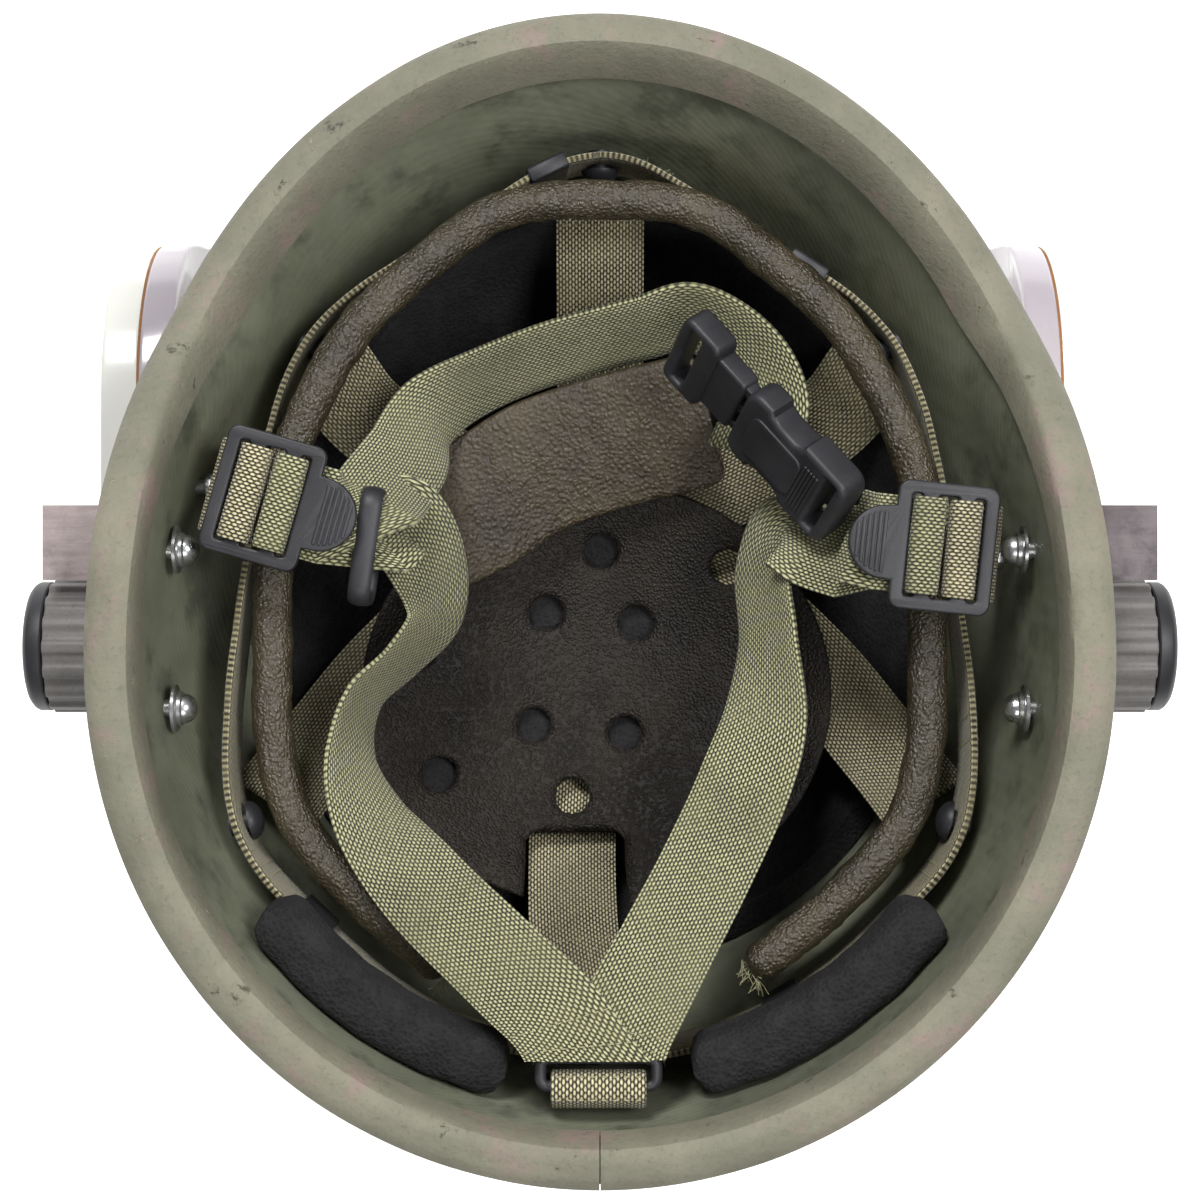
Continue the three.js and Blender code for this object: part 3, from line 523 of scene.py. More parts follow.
def painted(name, tones, weaveScale, bump):
    # matt paint over woven sheet: brushed streaks, dusty film, chips and small pale scratches
    finish, base, light, dark = started(name, tones)
    grain = finish.cloud(2600, 2)
    film = finish.cloud(16, 6, 0.6)
    blots = finish.cloud(60, 5, 0.65)
    streaks = finish.cloud(120, 6, 0.7, (1, 1, 0.22))
    scratch = finish.band(finish.cloud(260, 9, 0.85, (1, 0.3, 0.16)), 0.66, 0.69)
    spot = finish.node("ShaderNodeSeparateXYZ", None, {0: finish.place()})
    x, y, z = [Wire(finish, spot.socket.node.outputs[i]) for i in range(3)]
    weave = ((x + z) * weaveScale).sine() * ((y - z) * weaveScale).sine()
    tone = finish.mix(finish.band(film, 0.35, 0.65), base, light)
    tone = finish.mix(finish.band(blots, 0.45, 0.72) * 0.8, tone, dark)
    tone = finish.mix(finish.band(streaks, 0.45, 0.75) * 0.35, tone, plain(112, 116, 108))
    tone = finish.mix(scratch * 0.65, tone, plain(168, 160, 132))
    finish.set(Base_Color=tone, Roughness=0.5 + 0.25 * film + 0.06 * weave)
    return finish.bump(weave * 0.35 + grain * 0.4 + blots * 0.8 + streaks * 0.5, bump, 0.25)


def rubber(name, tones):
    # painted rubber edging: brush marks, mauve scuffs, bare pale rubs and dark knocks
    finish, base, light, dark = started(name, tones)
    patches = finish.cloud(30, 6, 0.65)
    specks = finish.cloud(700, 4, 0.7)
    mauve = finish.band(finish.cloud(48, 7, 0.7), 0.53, 0.66)
    rubs = finish.band(finish.cloud(150, 9, 0.8), 0.62, 0.67)
    knocks = finish.band(finish.cloud(95, 8, 0.75, (1, 1, 2)), 0.63, 0.69)
    tone = finish.mix(finish.band(patches, 0.3, 0.7), base, light)
    tone = finish.mix(mauve * 0.75, tone, plain(140, 120, 114))
    tone = finish.mix(finish.band(specks, 0.52, 0.75) * 0.4, tone, dark)
    tone = finish.mix(rubs * 0.85, tone, plain(182, 172, 148))
    tone = finish.mix(knocks * 0.8, tone, plain(62, 60, 50))
    finish.set(Base_Color=tone, Roughness=0.58 + 0.25 * specks)
    return finish.bump(specks + patches * 3 - rubs * 1.2 - knocks * 1.5, 0.6, 0.45)


weave = dict(warpPitch=0.9, weftPitch=1.6)


def woven(name, tones, sheen=0.2):
    # webbing on its own map, across and along in millimetres: oval floats in offset columns, with painted shade in the
    # gaps between floats and a painted highlight on their crowns
    finish, base, light, dark = started(name, tones)
    across, along = finish.uv()
    columns = (across + 100) / weave["warpPitch"]
    column = columns.floor()
    side = (columns - column - 0.5) * 2
    odd = column * 0.5 - (column * 0.5).floor()
    rows = (along + 100) / weave["weftPitch"] + odd
    run = (rows - rows.floor() - 0.5) * 2
    wobble = finish.cloud(900, 2, 0.6) - 0.5
    oval = 1 - (side ** 2) * 0.85 - (run ** 2) * 0.75 + wobble * 0.5
    fibre = finish.cloud(3000, 3, 0.7)
    patches = finish.cloud(60, 5, 0.6)
    soil = finish.band(finish.cloud(26, 6, 0.6), 0.45, 0.72)
    thread = finish.band(oval, 0.1, 0.65)
    # painted shade: the gaps between floats go to the near-black tone
    tone = finish.mix(thread, dark, base)
    # painted highlight: the crown of each float goes to the pale tone
    tone = finish.mix(finish.band(oval, 0.55, 1.0) * 0.75, tone, light)
    tone = finish.mix(finish.band(patches, 0.4, 0.7) * 0.3, tone, base)
    tone = finish.mix(soil * 0.3, tone, dark)
    tone = finish.mix(finish.band(fibre, 0.58, 0.8) * 0.3, tone, light)
    finish.set(Base_Color=tone, Roughness=0.72 + 0.2 * fibre, Sheen_Weight=sheen, Sheen_Roughness=0.5)
    return finish.bump(thread * 1.4 + fibre * 0.3, 0.8, 0.4)


def leathery(name, tones, gloss, grainScale=420, crease=1.0, shine=0.5):
    # soft leathercloth: fine pebble grain in short wrinkles, a few soft folds, rubbed shine
    finish, base, light, dark = started(name, tones)
    pebble = finish.cells(grainScale, "F1", (1, 1, 1.5))
    wrinkle = finish.cloud(grainScale * 0.5, 5, 0.7, (1.8, 1, 1))
    fold = finish.cloud(38, 4, 0.55, (1.5, 1, 1.5))
    wear = finish.band(finish.cloud(70, 6, 0.7), 0.45, 0.75)
    grain = finish.band(pebble, 0.1, 0.75)
    tone = finish.mix(finish.band(fold, 0.3, 0.7), base, light)
    tone = finish.mix(grain * 0.4, tone, dark)
    tone = finish.mix(finish.band(wrinkle, 0.55, 0.75) * 0.35, tone, dark)
    tone = finish.mix(wear * 0.3, tone, light)
    finish.set(Base_Color=tone, Roughness=gloss + 0.2 * wear + 0.12 * grain, Specular_IOR_Level=shine)
    return finish.bump(wrinkle * 1.6 * crease - grain * 0.7 + fold * 1.5 * crease, 0.8, 0.55)


def foamed(name, tones):
    # open foam, dark and matt, with pores and a few paler crumbs
    finish, base, light, dark = started(name, tones)
    pores = finish.cells(900, "F1")
    coarse = finish.cloud(120, 5, 0.7)
    dust = finish.band(finish.cloud(700, 4, 0.75), 0.6, 0.72)
    tone = finish.mix(finish.band(pores, 0.15, 0.6), dark, base)
    tone = finish.mix(finish.band(coarse, 0.4, 0.7) * 0.5, tone, light)
    tone = finish.mix(dust * 0.5, tone, light)
    finish.set(Base_Color=tone, Roughness=0.92 + 0.05 * coarse)
    return finish.bump(pores + coarse * 0.8, 0.9, 0.6)


def moulded(name, tones, gloss=0.38, grain=1800):
    # moulded plastic with a fine spark grain, fingermarks and dust in low places
    finish, base, light, dark = started(name, tones)
    spark = finish.cloud(grain, 2, 0.5)
    smear = finish.cloud(45, 5, 0.6)
    scratch = finish.band(finish.cloud(220, 8, 0.8, (0.2, 1, 4)), 0.62, 0.68)
    tone = finish.mix(finish.band(smear, 0.4, 0.75) * 0.7, base, light)
    tone = finish.mix(finish.band(spark, 0.5, 0.75) * 0.3, tone, dark)
    tone = finish.mix(scratch * 0.35, tone, light)
    finish.set(Base_Color=tone, Roughness=gloss + 0.22 * smear + 0.12 * scratch)
    return finish.bump(spark + scratch * -0.6, 0.3, 0.12)


def worked(name, tones, metallic, gloss, streak=(0.3, 3, 3)):
    # rolled or plated metal with handling scratches and a little tarnish
    finish, base, light, dark = started(name, tones)
    rolled = finish.cloud(160, 7, 0.75, streak)
    tarnish = finish.band(finish.cloud(52, 7, 0.65), 0.42, 0.72)
    pits = finish.band(finish.cloud(1300, 3, 0.7), 0.62, 0.75)
    scratch = finish.band(finish.cloud(90, 9, 0.85, (0.15, 1, 5)), 0.6, 0.64)
    tone = finish.mix(rolled, base, light)
    tone = finish.mix(tarnish * 0.6, tone, dark)
    tone = finish.mix(scratch * 0.5, tone, light)
    finish.set(Base_Color=tone, Metallic=metallic - 0.25 * tarnish, Roughness=gloss + 0.25 * tarnish + 0.1 * rolled)
    return finish.bump(rolled * 0.4 - pits - scratch * 0.5, 0.35, 0.15)


def polished(name, tones, gloss, clear=0.6):
    # thick clear-coated armour plastic: near even, with haze, dust and fine wipe marks
    finish, base, light, dark = started(name, tones)
    haze = finish.cloud(14, 5, 0.55)
    dust = finish.band(finish.cloud(1200, 3, 0.75), 0.64, 0.72)
    wipe = finish.band(finish.cloud(60, 9, 0.8, (1, 0.25, 3)), 0.58, 0.64)
    tone = finish.mix(finish.band(haze, 0.35, 0.7) * 0.7, base, light)
    tone = finish.mix(dust * 0.35 + wipe * 0.15, tone, dark)
    finish.set(Base_Color=tone, Roughness=gloss + 0.15 * haze + 0.2 * wipe, Coat_Weight=clear - 0.3 * wipe)
    finish.set(Coat_Roughness=0.08)
    return finish.bump(haze + wipe * 0.15, 0.08, 0.3)


def threaded(name, tones):
    # twisted sewing thread
    finish, base, light, dark = started(name, tones)
    twist = finish.cloud(2400, 3, 0.7)
    tone = finish.mix(twist, dark, light)
    tone = finish.mix(0.5, tone, base)
    finish.set(Base_Color=tone, Roughness=0.7 + 0.2 * twist)
    return finish.bump(twist, 0.6, 0.15)


looks = dict(
    shell=painted("olivePaint", "shellInside", 1250, 0.4),
    outside=painted("olivePaintOutside", "shellOutside", 1250, 0.4),
    edging=rubber("wornEdging", "edging"), khaki=woven("khakiWebbing", "khaki"), green=woven("greenWebbing", "green"),
    leather=leathery("brownLeather", "leather", 0.22, 900, 0.9, 0.8),
    cup=leathery("cupLeather", "cup", 0.26, 760, 1.0, 0.6),
    pad=leathery("padLeather", "pad", 0.4, 1100, 0.4, 0.3), foam=foamed("blackFoam", "foam"),
    plastic=moulded("blackPlastic", "plastic"), knob=moulded("knobGrey", "knob", 0.4, 1200),
    metal=worked("bracketMetal", "plate", 0.6, 0.42), darkMetal=worked("bracketDark", "darkPlate", 0.6, 0.42),
    arm=worked("armSteel", "plate", 0.85, 0.35),
    bolt=worked("brightBolt", "bolt", 1.0, 0.2, (1, 1, 1)), white=polished("visorWhite", "white", 0.12),
    violet=polished("visorViolet", "violet", 0.14), bond=rubber("bondLine", "bond"),
    thread=threaded("paleThread", "thread"))
print("finishes ready")


# Shell, its edging and the foam inside it

shell = dict(columns=168, rows=64, ripple=0.35)
edging = dict(columns=260, buttGap=0.0012, waviness=0.22)
foam = dict(columns=120, rows=22, startDepth=106, backGap=0.95, thick=8, sag=1.3)


def bowlRings(startAt, inward, columns, rows, ripple=0, seed=0):
    rings = []
    for row in range(rows):
        ring = []
        for i in range(columns):
            azimuth = 2 * math.pi * i / columns
            start = startAt(azimuth)
            full = dome["crownDepth"] - rimDepth(azimuth) - start
            below = start + full * math.sin(math.pi / 2 * row / (rows - 0.6))
            place = wallPoint(azimuth, below, inward)
            if ripple:
                lift = ripple * noise.noise(Vector(place) * 0.03 + Vector((seed, 0, 0)))
                place += (place - wallPoint(azimuth, below, inward + 1)) * lift
            ring.append(place)
        rings.append(ring)
    return rings


def makeShell():
    inner = bowlRings(lambda azimuth: 0, dome["wall"], shell["columns"], shell["rows"], shell["ripple"], 3)
    outer = bowlRings(lambda azimuth: 0, 0, shell["columns"], shell["rows"], shell["ripple"] / 2, 5)
    piece = finished("shellSurface", *skin([*reversed(inner), *outer]), looks["shell"], stands=["shell"], angle=50)
    piece.data.materials.append(looks["outside"])
    split = shell["columns"] * shell["rows"]
    for face in piece.data.polygons:
        if min(face.vertices) >= split - 1:
            face.material_index = 1


def makeEdging():
    inner, thick, lip, leg = dome["wall"] + play, rim["trimThick"], rim["trimLip"], rim["trimLeg"]
    far = inner + thick
    profile = [(leg, -play), (4, -play), (-play, -play), (-play, inner), (4, inner), (leg, inner),
               (leg + 0.1, inner + 0.8), (leg - 0.5, far - 0.1), (leg - 1.5, far), (5, far + 0.1), (1, far),
               (-0.7, inner + 1.0), (-1.7, inner - 0.5), (-lip + 0.1, inner - 2), (-lip, inner / 2 + 1.2),
               (-lip, inner / 2 - 1.2), (-lip + 0.1, 2 - play), (-1.7, 0.5 - play), (-0.7, -1.0 - play),
               (1, -play - thick), (5, -play - thick - 0.1), (leg - 1.5, -play - thick),
               (leg - 0.5, -play - thick + 0.1), (leg + 0.1, -0.8 - play)]
    rings = []
    for i in range(edging["columns"] + 1):
        azimuth = math.pi + edging["buttGap"] + (2 * math.pi - 2 * edging["buttGap"]) * i / edging["columns"]
        ring = []
        for below, inward in profile:
            outside = below < 0 or inward > inner or inward < -play
            lift = edging["waviness"] * lumps(math.sin(azimuth) * 7, math.cos(azimuth) * 7, inward * 0.3)
            ring.append(wallPoint(azimuth, below + (lift if outside else 0), inward))
        rings.append(ring)
    finished("edgeTrim", *skin(rings), looks["edging"], stands=["rim_trim"], angle=35)


def makeFoam():
    start = lambda azimuth: foam["startDepth"] - rimDepth(azimuth)
    back = dome["wall"] + foam["backGap"]
    outer = bowlRings(start, back, foam["columns"], foam["rows"])
    inner = bowlRings(start, back + foam["thick"], foam["columns"], foam["rows"], foam["sag"], 9)
    piece = finished("crownFoam", *skin([*reversed(inner), *outer]), looks["foam"], stands=["foam_liner"], angle=60)


wallPad = dict(columns=40, sides=28, below=29.5, halfDown=7.4, inward=16.2, halfIn=7.6, wrinkle=0.5,
               least=8.5, most=24.2)


def squircle(turn, power):
    # how far a rounded square reaches at a turn, for a circle of 1
    return (abs(math.cos(turn)) ** power + abs(math.sin(turn)) ** power) ** (-1 / power)


def makeWallPad(name, node, fromTurn, toTurn):
    # a foam pad on the wall with pillowed faces and rounded ends
    columns = wallPad["columns"]
    rings = []
    for i in range(columns + 1):
        share = i / columns
        azimuth = math.radians(fromTurn + (toTurn - fromTurn) * share)
        end = min(share, 1 - share) * columns / 3
        full = math.sqrt(max(1 - max(1 - end, 0) ** 2, 0)) * 0.75 + 0.25
        section = []
        for j in range(wallPad["sides"]):
            turn = 2 * math.pi * j / wallPad["sides"]
            box = squircle(turn, 4)
            below = wallPad["below"] + wallPad["halfDown"] * box * math.cos(turn) * (0.8 + 0.2 * full)
            inward = wallPad["inward"] + wallPad["halfIn"] * box * math.sin(turn) * full
            wrinkle = wallPad["wrinkle"] * lumps(share * 9, j * 0.5, fromTurn)
            inward = min(max(inward + wrinkle, wallPad["least"]), wallPad["most"])
            section.append(wallPoint(azimuth, below + wrinkle, inward))
        rings.append(section)
    piece = finished(name, *skin(rings), looks["foam"], stands=[node], angle=60)


makeShell()
makeEdging()
makeFoam()
makeWallPad("rearFoamRight", "foam_rear_right", 127, 167)
makeWallPad("rearFoamLeft", "foam_rear_left", -127, -167)
print("shell, edging and foam ready")


# Visor: two armour layers bent in a U with a thin bond line between them

visor = dict(endReach=45, straightReach=70, noseReach=190, outerThick=10, innerThick=9.3, outerHalf=139,
             above=25, below=117, lowerCorner=47, upperCorner=18, bentShare=0.88, noseRise=1.2,
             slotReach=72, slotFront=48, edgeRound=1.1, bondBite=0.35, bendSteps=120, endSteps=18)


def bendPoint(share, inward):
    long = visor["noseReach"] - visor["straightReach"] + visor["noseRise"]
    side = 1 if share > 0 else -1 if share < 0 else 0
    bent = min(abs(share) / visor["bentShare"], 1)
    angle = math.pi / 2 * bent ** 0.9
    run = max(abs(share) - visor["bentShare"], 0) / (1 - visor["bentShare"])
    ahead = visor["straightReach"] + long * math.cos(angle)
    flat = ahead >= visor["noseReach"]
    slope = math.hypot(long * math.sin(angle), visor["outerHalf"] * math.cos(angle))
    normalX = 0 if flat else long * math.sin(angle) / slope
    normalReach = 1 if flat else visor["outerHalf"] * math.cos(angle) / slope
    reach = min(ahead, visor["noseReach"]) - run * (visor["straightReach"] - visor["endReach"])
    return side * (visor["outerHalf"] * math.sin(angle) - inward * normalX), reach - inward * normalReach


def cornerLoss(fromEnd, radius):
    short = max(radius - fromEnd, 0)
    return radius - math.sqrt(radius ** 2 - short ** 2)


def visorRings(outer, inner, edgeRadius, slotted=False, proud=0.0):
    shares = [(i / visor["bendSteps"] * 2 - 1) * visor["bentShare"] for i in range(visor["bendSteps"] + 1)]
    ends = [1 - (1 - visor["bentShare"]) * (i / visor["endSteps"]) ** 1.6 for i in range(visor["endSteps"])]
    shares = [*[-share for share in ends], *shares, *reversed(ends)]
    spots = [bendPoint(share, 0) for share in shares]
    lengths = [0.0]
    for a, b in zip(spots, spots[1:]):
        lengths.append(lengths[-1] + math.hypot(b[0] - a[0], b[1] - a[1]))
    rings = []
    wasSlotted = None
    for share, length in zip(shares, lengths):
        fromEnd = min(length, lengths[-1] - length)
        front = pivot["y"] + visor["below"] - cornerLoss(fromEnd, visor["lowerCorner"]) + proud
        back = pivot["y"] - visor["above"] + cornerLoss(fromEnd, visor["upperCorner"]) - proud
        inSlot = slotted and bendPoint(share, (outer + inner) / 2)[1] < visor["slotReach"]
        backs = [back]
        if slotted and wasSlotted is not None and inSlot != wasSlotted:
            slotBack = max(back, pivot["y"] + visor["slotFront"] - proud)
            backs = [back, slotBack] if inSlot else [slotBack, back]
        elif inSlot:
            backs = [max(back, pivot["y"] + visor["slotFront"] - proud)]
        wasSlotted = inSlot
        for low in backs:
            middleY, halfY = (front + low) / 2, (front - low) / 2
            middleIn, halfIn = (outer + inner) / 2, (inner - outer) / 2
            section = roundedRect(halfY, halfIn, edgeRadius, 3)
            rings.append([bendPlace(share, middleY + y, middleIn + inward) for y, inward in section])
    return rings


def bendPlace(share, y, inward):
    x, reach = bendPoint(share, inward)
    return x, y, rimHeight - pivot["depth"] - reach


def makeVisor():
    first = visor["outerThick"]
    second = first + play
    last = second + visor["innerThick"]
    bite = visor["bondBite"]
    for name, look, stands, rings in (
            ("visorOuterLayer", "white", ["visor_outer"], visorRings(0, first, visor["edgeRound"])),
            ("visorInnerLayer", "violet", ["visor_inner"], visorRings(second, last, visor["edgeRound"], True)),
            ("visorBondLine", "bond", (), visorRings(first - bite, second + bite, 0.3, True, -bite))):
        finished(name, *skin(rings), looks[look], "visor", stands, 35)


def refined(name, node, material, body="helmet", bevel=0.5, segments=2, angle=35):
    # a merged copy of a hard construction solid with its edges broken
    source = frame["nodes"][node]
    data = source.data.copy()
    turnedOut(data)
    piece = dressed(name, data, material, body, [node], angle)
    if bevel:
        cut = piece.modifiers.new("edges", "BEVEL")
        cut.width = bevel / 1000
        cut.segments = segments
        cut.limit_method = "ANGLE"
        cut.angle_limit = math.radians(40)
        cut.harden_normals = False
    return piece


makeVisor()
for side in ("left", "right"):
    refined("visorArm" + side.title(), "visor_arm_" + side, looks["arm"], "visor", 0.4)
    refined("visorScrew" + side.title(), "visor_screw_" + side, looks["bolt"], "visor", 0.25)
    plateLook = looks["metal" if side == "left" else "darkMetal"]
    refined("sideBracket" + side.title(), "bracket_" + side, plateLook, "helmet", 1.6, 3)
print("visor, arms and brackets ready")


# Knobs and nuts

knob = dict(inner=129, outer=147, radius=17.2, ribs=16, cap=5, ribDepth=0.9)


def alongX(part, x, y, depth, side):
    # turns a part from the Z axis to the X axis and mirrors it to its side
    points, faces = moved(part, lambda spot: Vector((side * (x + spot.z), y + spot.x, rimHeight - depth + spot.y)))
    return points, outward(points, faces)


def makeKnobs():
    for side, name in ((-1, "left"), (1, "right")):
        outline = []
        for i in range(knob["ribs"] * 12):
            turn = 2 * math.pi * i / (knob["ribs"] * 12)
            wave = math.cos(turn * knob["ribs"])
            radius = knob["radius"] - knob["ribDepth"] * (0.5 - 0.5 * max(min(wave * 1.8, 1), -1))
            outline.append((radius * math.cos(turn), radius * math.sin(turn)))
        length = knob["outer"] - knob["cap"] - knob["inner"] - play
        drum = roundedPlate(outline, [circle(0, 0, 5.3, 32)], length, 0.5)
        finished("knobDrum" + name.title(), *alongX(drum, knob["inner"], pivot["y"], pivot["depth"], side),
                 looks["knob"], "knob_" + name, ["knob_drum_" + name])
        top = knob["radius"] - 0.5
        profile = [(0, 0), (top - 0.4, 0), (top, 0.4), (top, 3.0), (top - 0.5, 3.9), (top - 1.5, 4.7), (top - 2.4, 5),
                   (9.2, 5), (8.7, 4.6), (8.2, 4.3), (0, 4.3)]
        cap = turned(profile, 64, (0, 0, 0), (0, 0, 1))
        foot = knob["outer"] - knob["cap"]
        finished("knobCap" + name.title(), *alongX(cap, foot, pivot["y"], pivot["depth"], side),
                 looks["plastic"], "knob_" + name, ["knob_cap_" + name])


def makeNuts():
    # domed nuts on the inner wall, each on a thin washer
    for side, name in ((-1, "left"), (1, "right")):
        for row in ("front", "rear"):
            low, high = [corner * 1000 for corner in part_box("nut_" + row + "_" + name)]
            tip = high.x if side < 0 else low.x
            seat = abs(tip)
            y = (low.y + high.y) / 2 - shiftY
            depth = rimHeight - (low.z + high.z) / 2
            dome = [(3.9 * math.sin(a), 3.6 - 3.6 * math.cos(a)) for a in [math.pi / 2 * i / 8 for i in range(9)]]
            profile = [*dome, (4.4, 4.0), (4.4, 4.9), (4.8, 5.1), (5.9, 5.15), (6.2, 5.4), (6.2, 6.2), (2.5, 6.2),
                       (2.5, 15), (0, 15)]
            nut = turned(profile, 40, (0, 0, 0), (0, 0, 1))
            finished("domedNut" + row.title() + name.title(), *alongX(nut, seat, y, depth, side),
                     looks["bolt"], "helmet", ["nut_" + row + "_" + name], 30)


makeKnobs()
makeNuts()
for side in ("left", "right"):
    refined("strapBolt" + side.title(), "strap_bolt_" + side, looks["bolt"], "helmet", 0.3)
print("knobs and nuts ready")


# Webbing: suspension band, crown straps, anchors, chin and nape straps, nape loop

bandRoute = [(0, 121, 80, 90), (42, 99, 77, 90), (79.5, 69.5, 75, 90), (94.5, 6, 64, 90), (95, -59, 52, 90),
             (73, -87, 51, 90), (40, -111, 50, 90), (0, -119.5, 50, 90), (-40, -111, 50, 90), (-73, -87, 51, 90),
             (-95, -59, 52, 90), (-94.5, 6, 64, 90), (-79.5, 69.5, 75, 90), (-42, 99, 77, 90)]
crownRoutes = dict(
    crown_strap_a=[(-75.5, 64.5, 89.6), (-66, 52, 95), (-38, 34, 104), (-20, 26, 109), (0, 18, 111.8), (20, 10, 111.8),
                   (38, 2, 110), (62, -20, 102.5), (76, -38, 90), (82, -46, 80), (88.5, -55.5, 67.2)],
    crown_strap_b=[(75.5, 64.5, 89.6), (66, 52, 95), (38, 34, 109.5), (20, 26, 114.6), (0, 18, 116.2), (-20, 10, 116),
                   (-38, 2, 113.6), (-62, -20, 102.5), (-76, -38, 90), (-82, -46, 80), (-88.5, -55.5, 67.2)],
    crown_strap_c=[(0, 117, 93.4), (0, 106, 95), (0, 80, 103), (0, 50, 114), (-1, 18, 120.5), (-4, -20, 119.5),
                   (-7, -50, 112), (-8, -72, 102), (-7, -95, 84), (-3, -115.5, 64.4)])
sliderLeft = dict(centre=(-86, 26, 28), angle=math.radians(-16))
sliderRight = dict(centre=(87.8, 13.3, 28), angle=math.radians(174))
sliderSize = dict(halfLength=13, halfWidth=16.5, corner=3, barAt=4.7, barHalf=2, thick=3, windowHalf=13.2, edge=3.6,
                  tab=9.5, tabShift=2, tabFoot=9.6, ribs=6, ribPitch=1.35)
chinRows = [(41, 40, 70, 20), (46, 54, 75, 30), (40, 68, 76, 42), (25.1, 77.9, 76.5, 50), (11.9, 74.9, 78.5, 52),
            (-7.8, 69.9, 80.3, 52), (-30.8, 61.4, 80, 52), (-45.2, 51.9, 73, 45), (-52, 37, 57, 25), (-58, 26, 38, 0)]
napeLeftRows = [(-58, 17, 42, 180), (-53, 21, 50, 190), (-46, 10, 58, 215), (-44, -4, 62, 238), (-53, -16, 62, 248),
                (-63, -26, 60, 250), (-66, -40, 56, 246), (-61, -56, 49, 228), (-46, -74, 37, 200),
                (-26, -91, 21.5, 188), (-12, -103, 12, 181), (-3, -114.5, 9.9, 180)]
releaseRows = [(64.5, 17, 37.5, 0), (67, 16, 33.5, 0)]
napeRightRows = [(65, 12.5, 44, 180), (57, 15, 52, 165), (49, 18, 59, 140), (44, 9, 62, 122), (45, -10, 60, 124),
                 (44, -32, 58, 150), (38, -50, 54, 172), (28, -70, 44, 180), (16, -90, 27.5, 180),
                 (6.5, -106, 14, 180), (3, -114.5, 12, 180)]
loopRows = [(6.6, -23), (8.9, -13), (9.2, -4), (7.2, 1.2), (5.4, 3.3), (1.6, 3.1), (0.3, 1), (0.3, -1.2), (1.6, -3.4),
            (4.8, -5.4), (6.4, -12), (4.2, -20)]
riseRows = [(-14.9, -29), (-15.1, -18), (-14.9, -9), (-13.4, -4.2)]
ringPlan = dict(centre=(-0.4, -118, 15), halfX=16, halfY=5, wire=1.5)


def barFold(bar, far):
    return [(far, -3), (bar + 5.5, -3), (bar + 3.7, -2), (bar + 3.4, 0), (bar + 3.4, 1.2), (bar + 2.6, 2.7),
            (bar, 3.1), (bar - 2.6, 2.7), (bar - 3.4, 1.2), (bar - 3.4, -1.2), (bar - 3.1, -3.6), (bar - 1.2, -5),
            (far, -5.1)]


def makeBand():
    frames = strapFrames(bandRoute, 20, True)
    points, faces, uvs = web(frames, 25, 2, True, 0, 0.35, 1)
    finished("suspensionBand", points, faces, looks["khaki"], uvs=uvs, stands=["suspension_band"], angle=50)
    return frames


def makeStraps():
    made = {}
    for seed, (node, rows) in enumerate(crownRoutes.items()):
        frames = strapFrames([(*row, 0) for row in rows], 12)
        points, faces, uvs = web(frames, 25, 1.4, False, 0.25, 0.4, 10 + seed)
        name = "crownStrap" + node[-1].upper()
        finished(name, points, faces, looks["khaki"], uvs=uvs, stands=[node], angle=50)
        made[node] = frames
    for node, plan in (("strap_anchor_left", sliderLeft), ("strap_anchor_right", sliderRight)):
        fold = [(-run, height) for run, height in barFold(sliderSize["barAt"], 11)[1:]]
        frames = foldFrames(plan["centre"], plan["angle"], [*riseRows, *fold], -1, 4)
        points, faces, uvs = web(frames, 25, 1.4, False, 0, 0.15, 21)
        finished("anchorWeb" + node[13:].title(), points, faces, looks["khaki"], uvs=uvs, stands=[node], angle=60)
        made[node] = frames
    for node, plan, before, after in (("harness_left", sliderLeft, chinRows, napeLeftRows),
                                      ("harness_right", sliderRight, releaseRows, napeRightRows)):
        fold = foldFrames(plan["centre"], plan["angle"], barFold(sliderSize["barAt"], 17), 1, 4)
        frames = [*strapFrames(before, 10), *fold, *strapFrames(after, 10)]
        squared = 26
        for i in range(squared):
            place, along, across = frames[i - squared]
            share = ((i + 1) / squared) ** 1.5
            level = Vector((1 if across.x > 0 else -1, 0, 0))
            turnedAcross = across.lerp(level, share).normalized()
            frames[i - squared] = (place, along, turnedAcross / max(abs(turnedAcross.dot(across)), 0.5))
        points, faces, uvs = web(frames, 25, 1.4, False, 0.2, 0.3, 31)
        finished("harnessWeb" + node[8:].title(), points, faces, looks["green"], uvs=uvs, stands=[node], angle=60)
        made[node] = frames
    frames = foldFrames(ringPlan["centre"], -math.pi / 2, loopRows, 1, 5)
    points, faces, uvs = web(frames, 24, 1.4, False, 0, 0.15, 41)
    finished("napeLoopWeb", points, faces, looks["khaki"], uvs=uvs, stands=["nape_loop"], angle=60)
    made["nape_loop"] = frames
    return made


bandFrames = makeBand()
strapLines = makeStraps()
print("webbing ready")


# Sweatband, crown pad and chin cup

sweatHalf = [(0, 107.5, 60), (27, 104, 59), (48, 89, 58), (64, 74, 57), (77, 52, 55), (84.5, 31, 53), (86.5, 8, 51),
             (86.5, -14, 50), (86, -38, 50), (80.5, -58, 50), (63, -79, 50), (50, -90, 50), (40, -98, 50)]
sweat = dict(rollRadius=5.5, skirtHalf=1.2, skirtDrop=15, skirtBends=(-10, -7), sides=20, steps=14,
             wrinkle=0.55, pucker=0.35)
padPlan = dict(centre=(-1, -26), halfX=66, halfY=60, depth=111, dish=19, thick=4, holeRadius=5, notch=(-21, 7, -66),
               spacing=3.0, edgeRound=2.2, crownMiddle=(0, -15), dishRadius=65, edgeRows=(0.5, 1.2),
               gridX=(-80, 80), gridY=(-100, 50), lump=0.5, fineLump=0.25)
padHoles = [(0.3, 13.9), (36.6, 9.4), (-15.3, -3.8), (10.4, -6.7), (-19, -36), (7.2, -38.3), (-45.4, -49.4),
            (-7.9, -56), (-51.8, -14.3)]
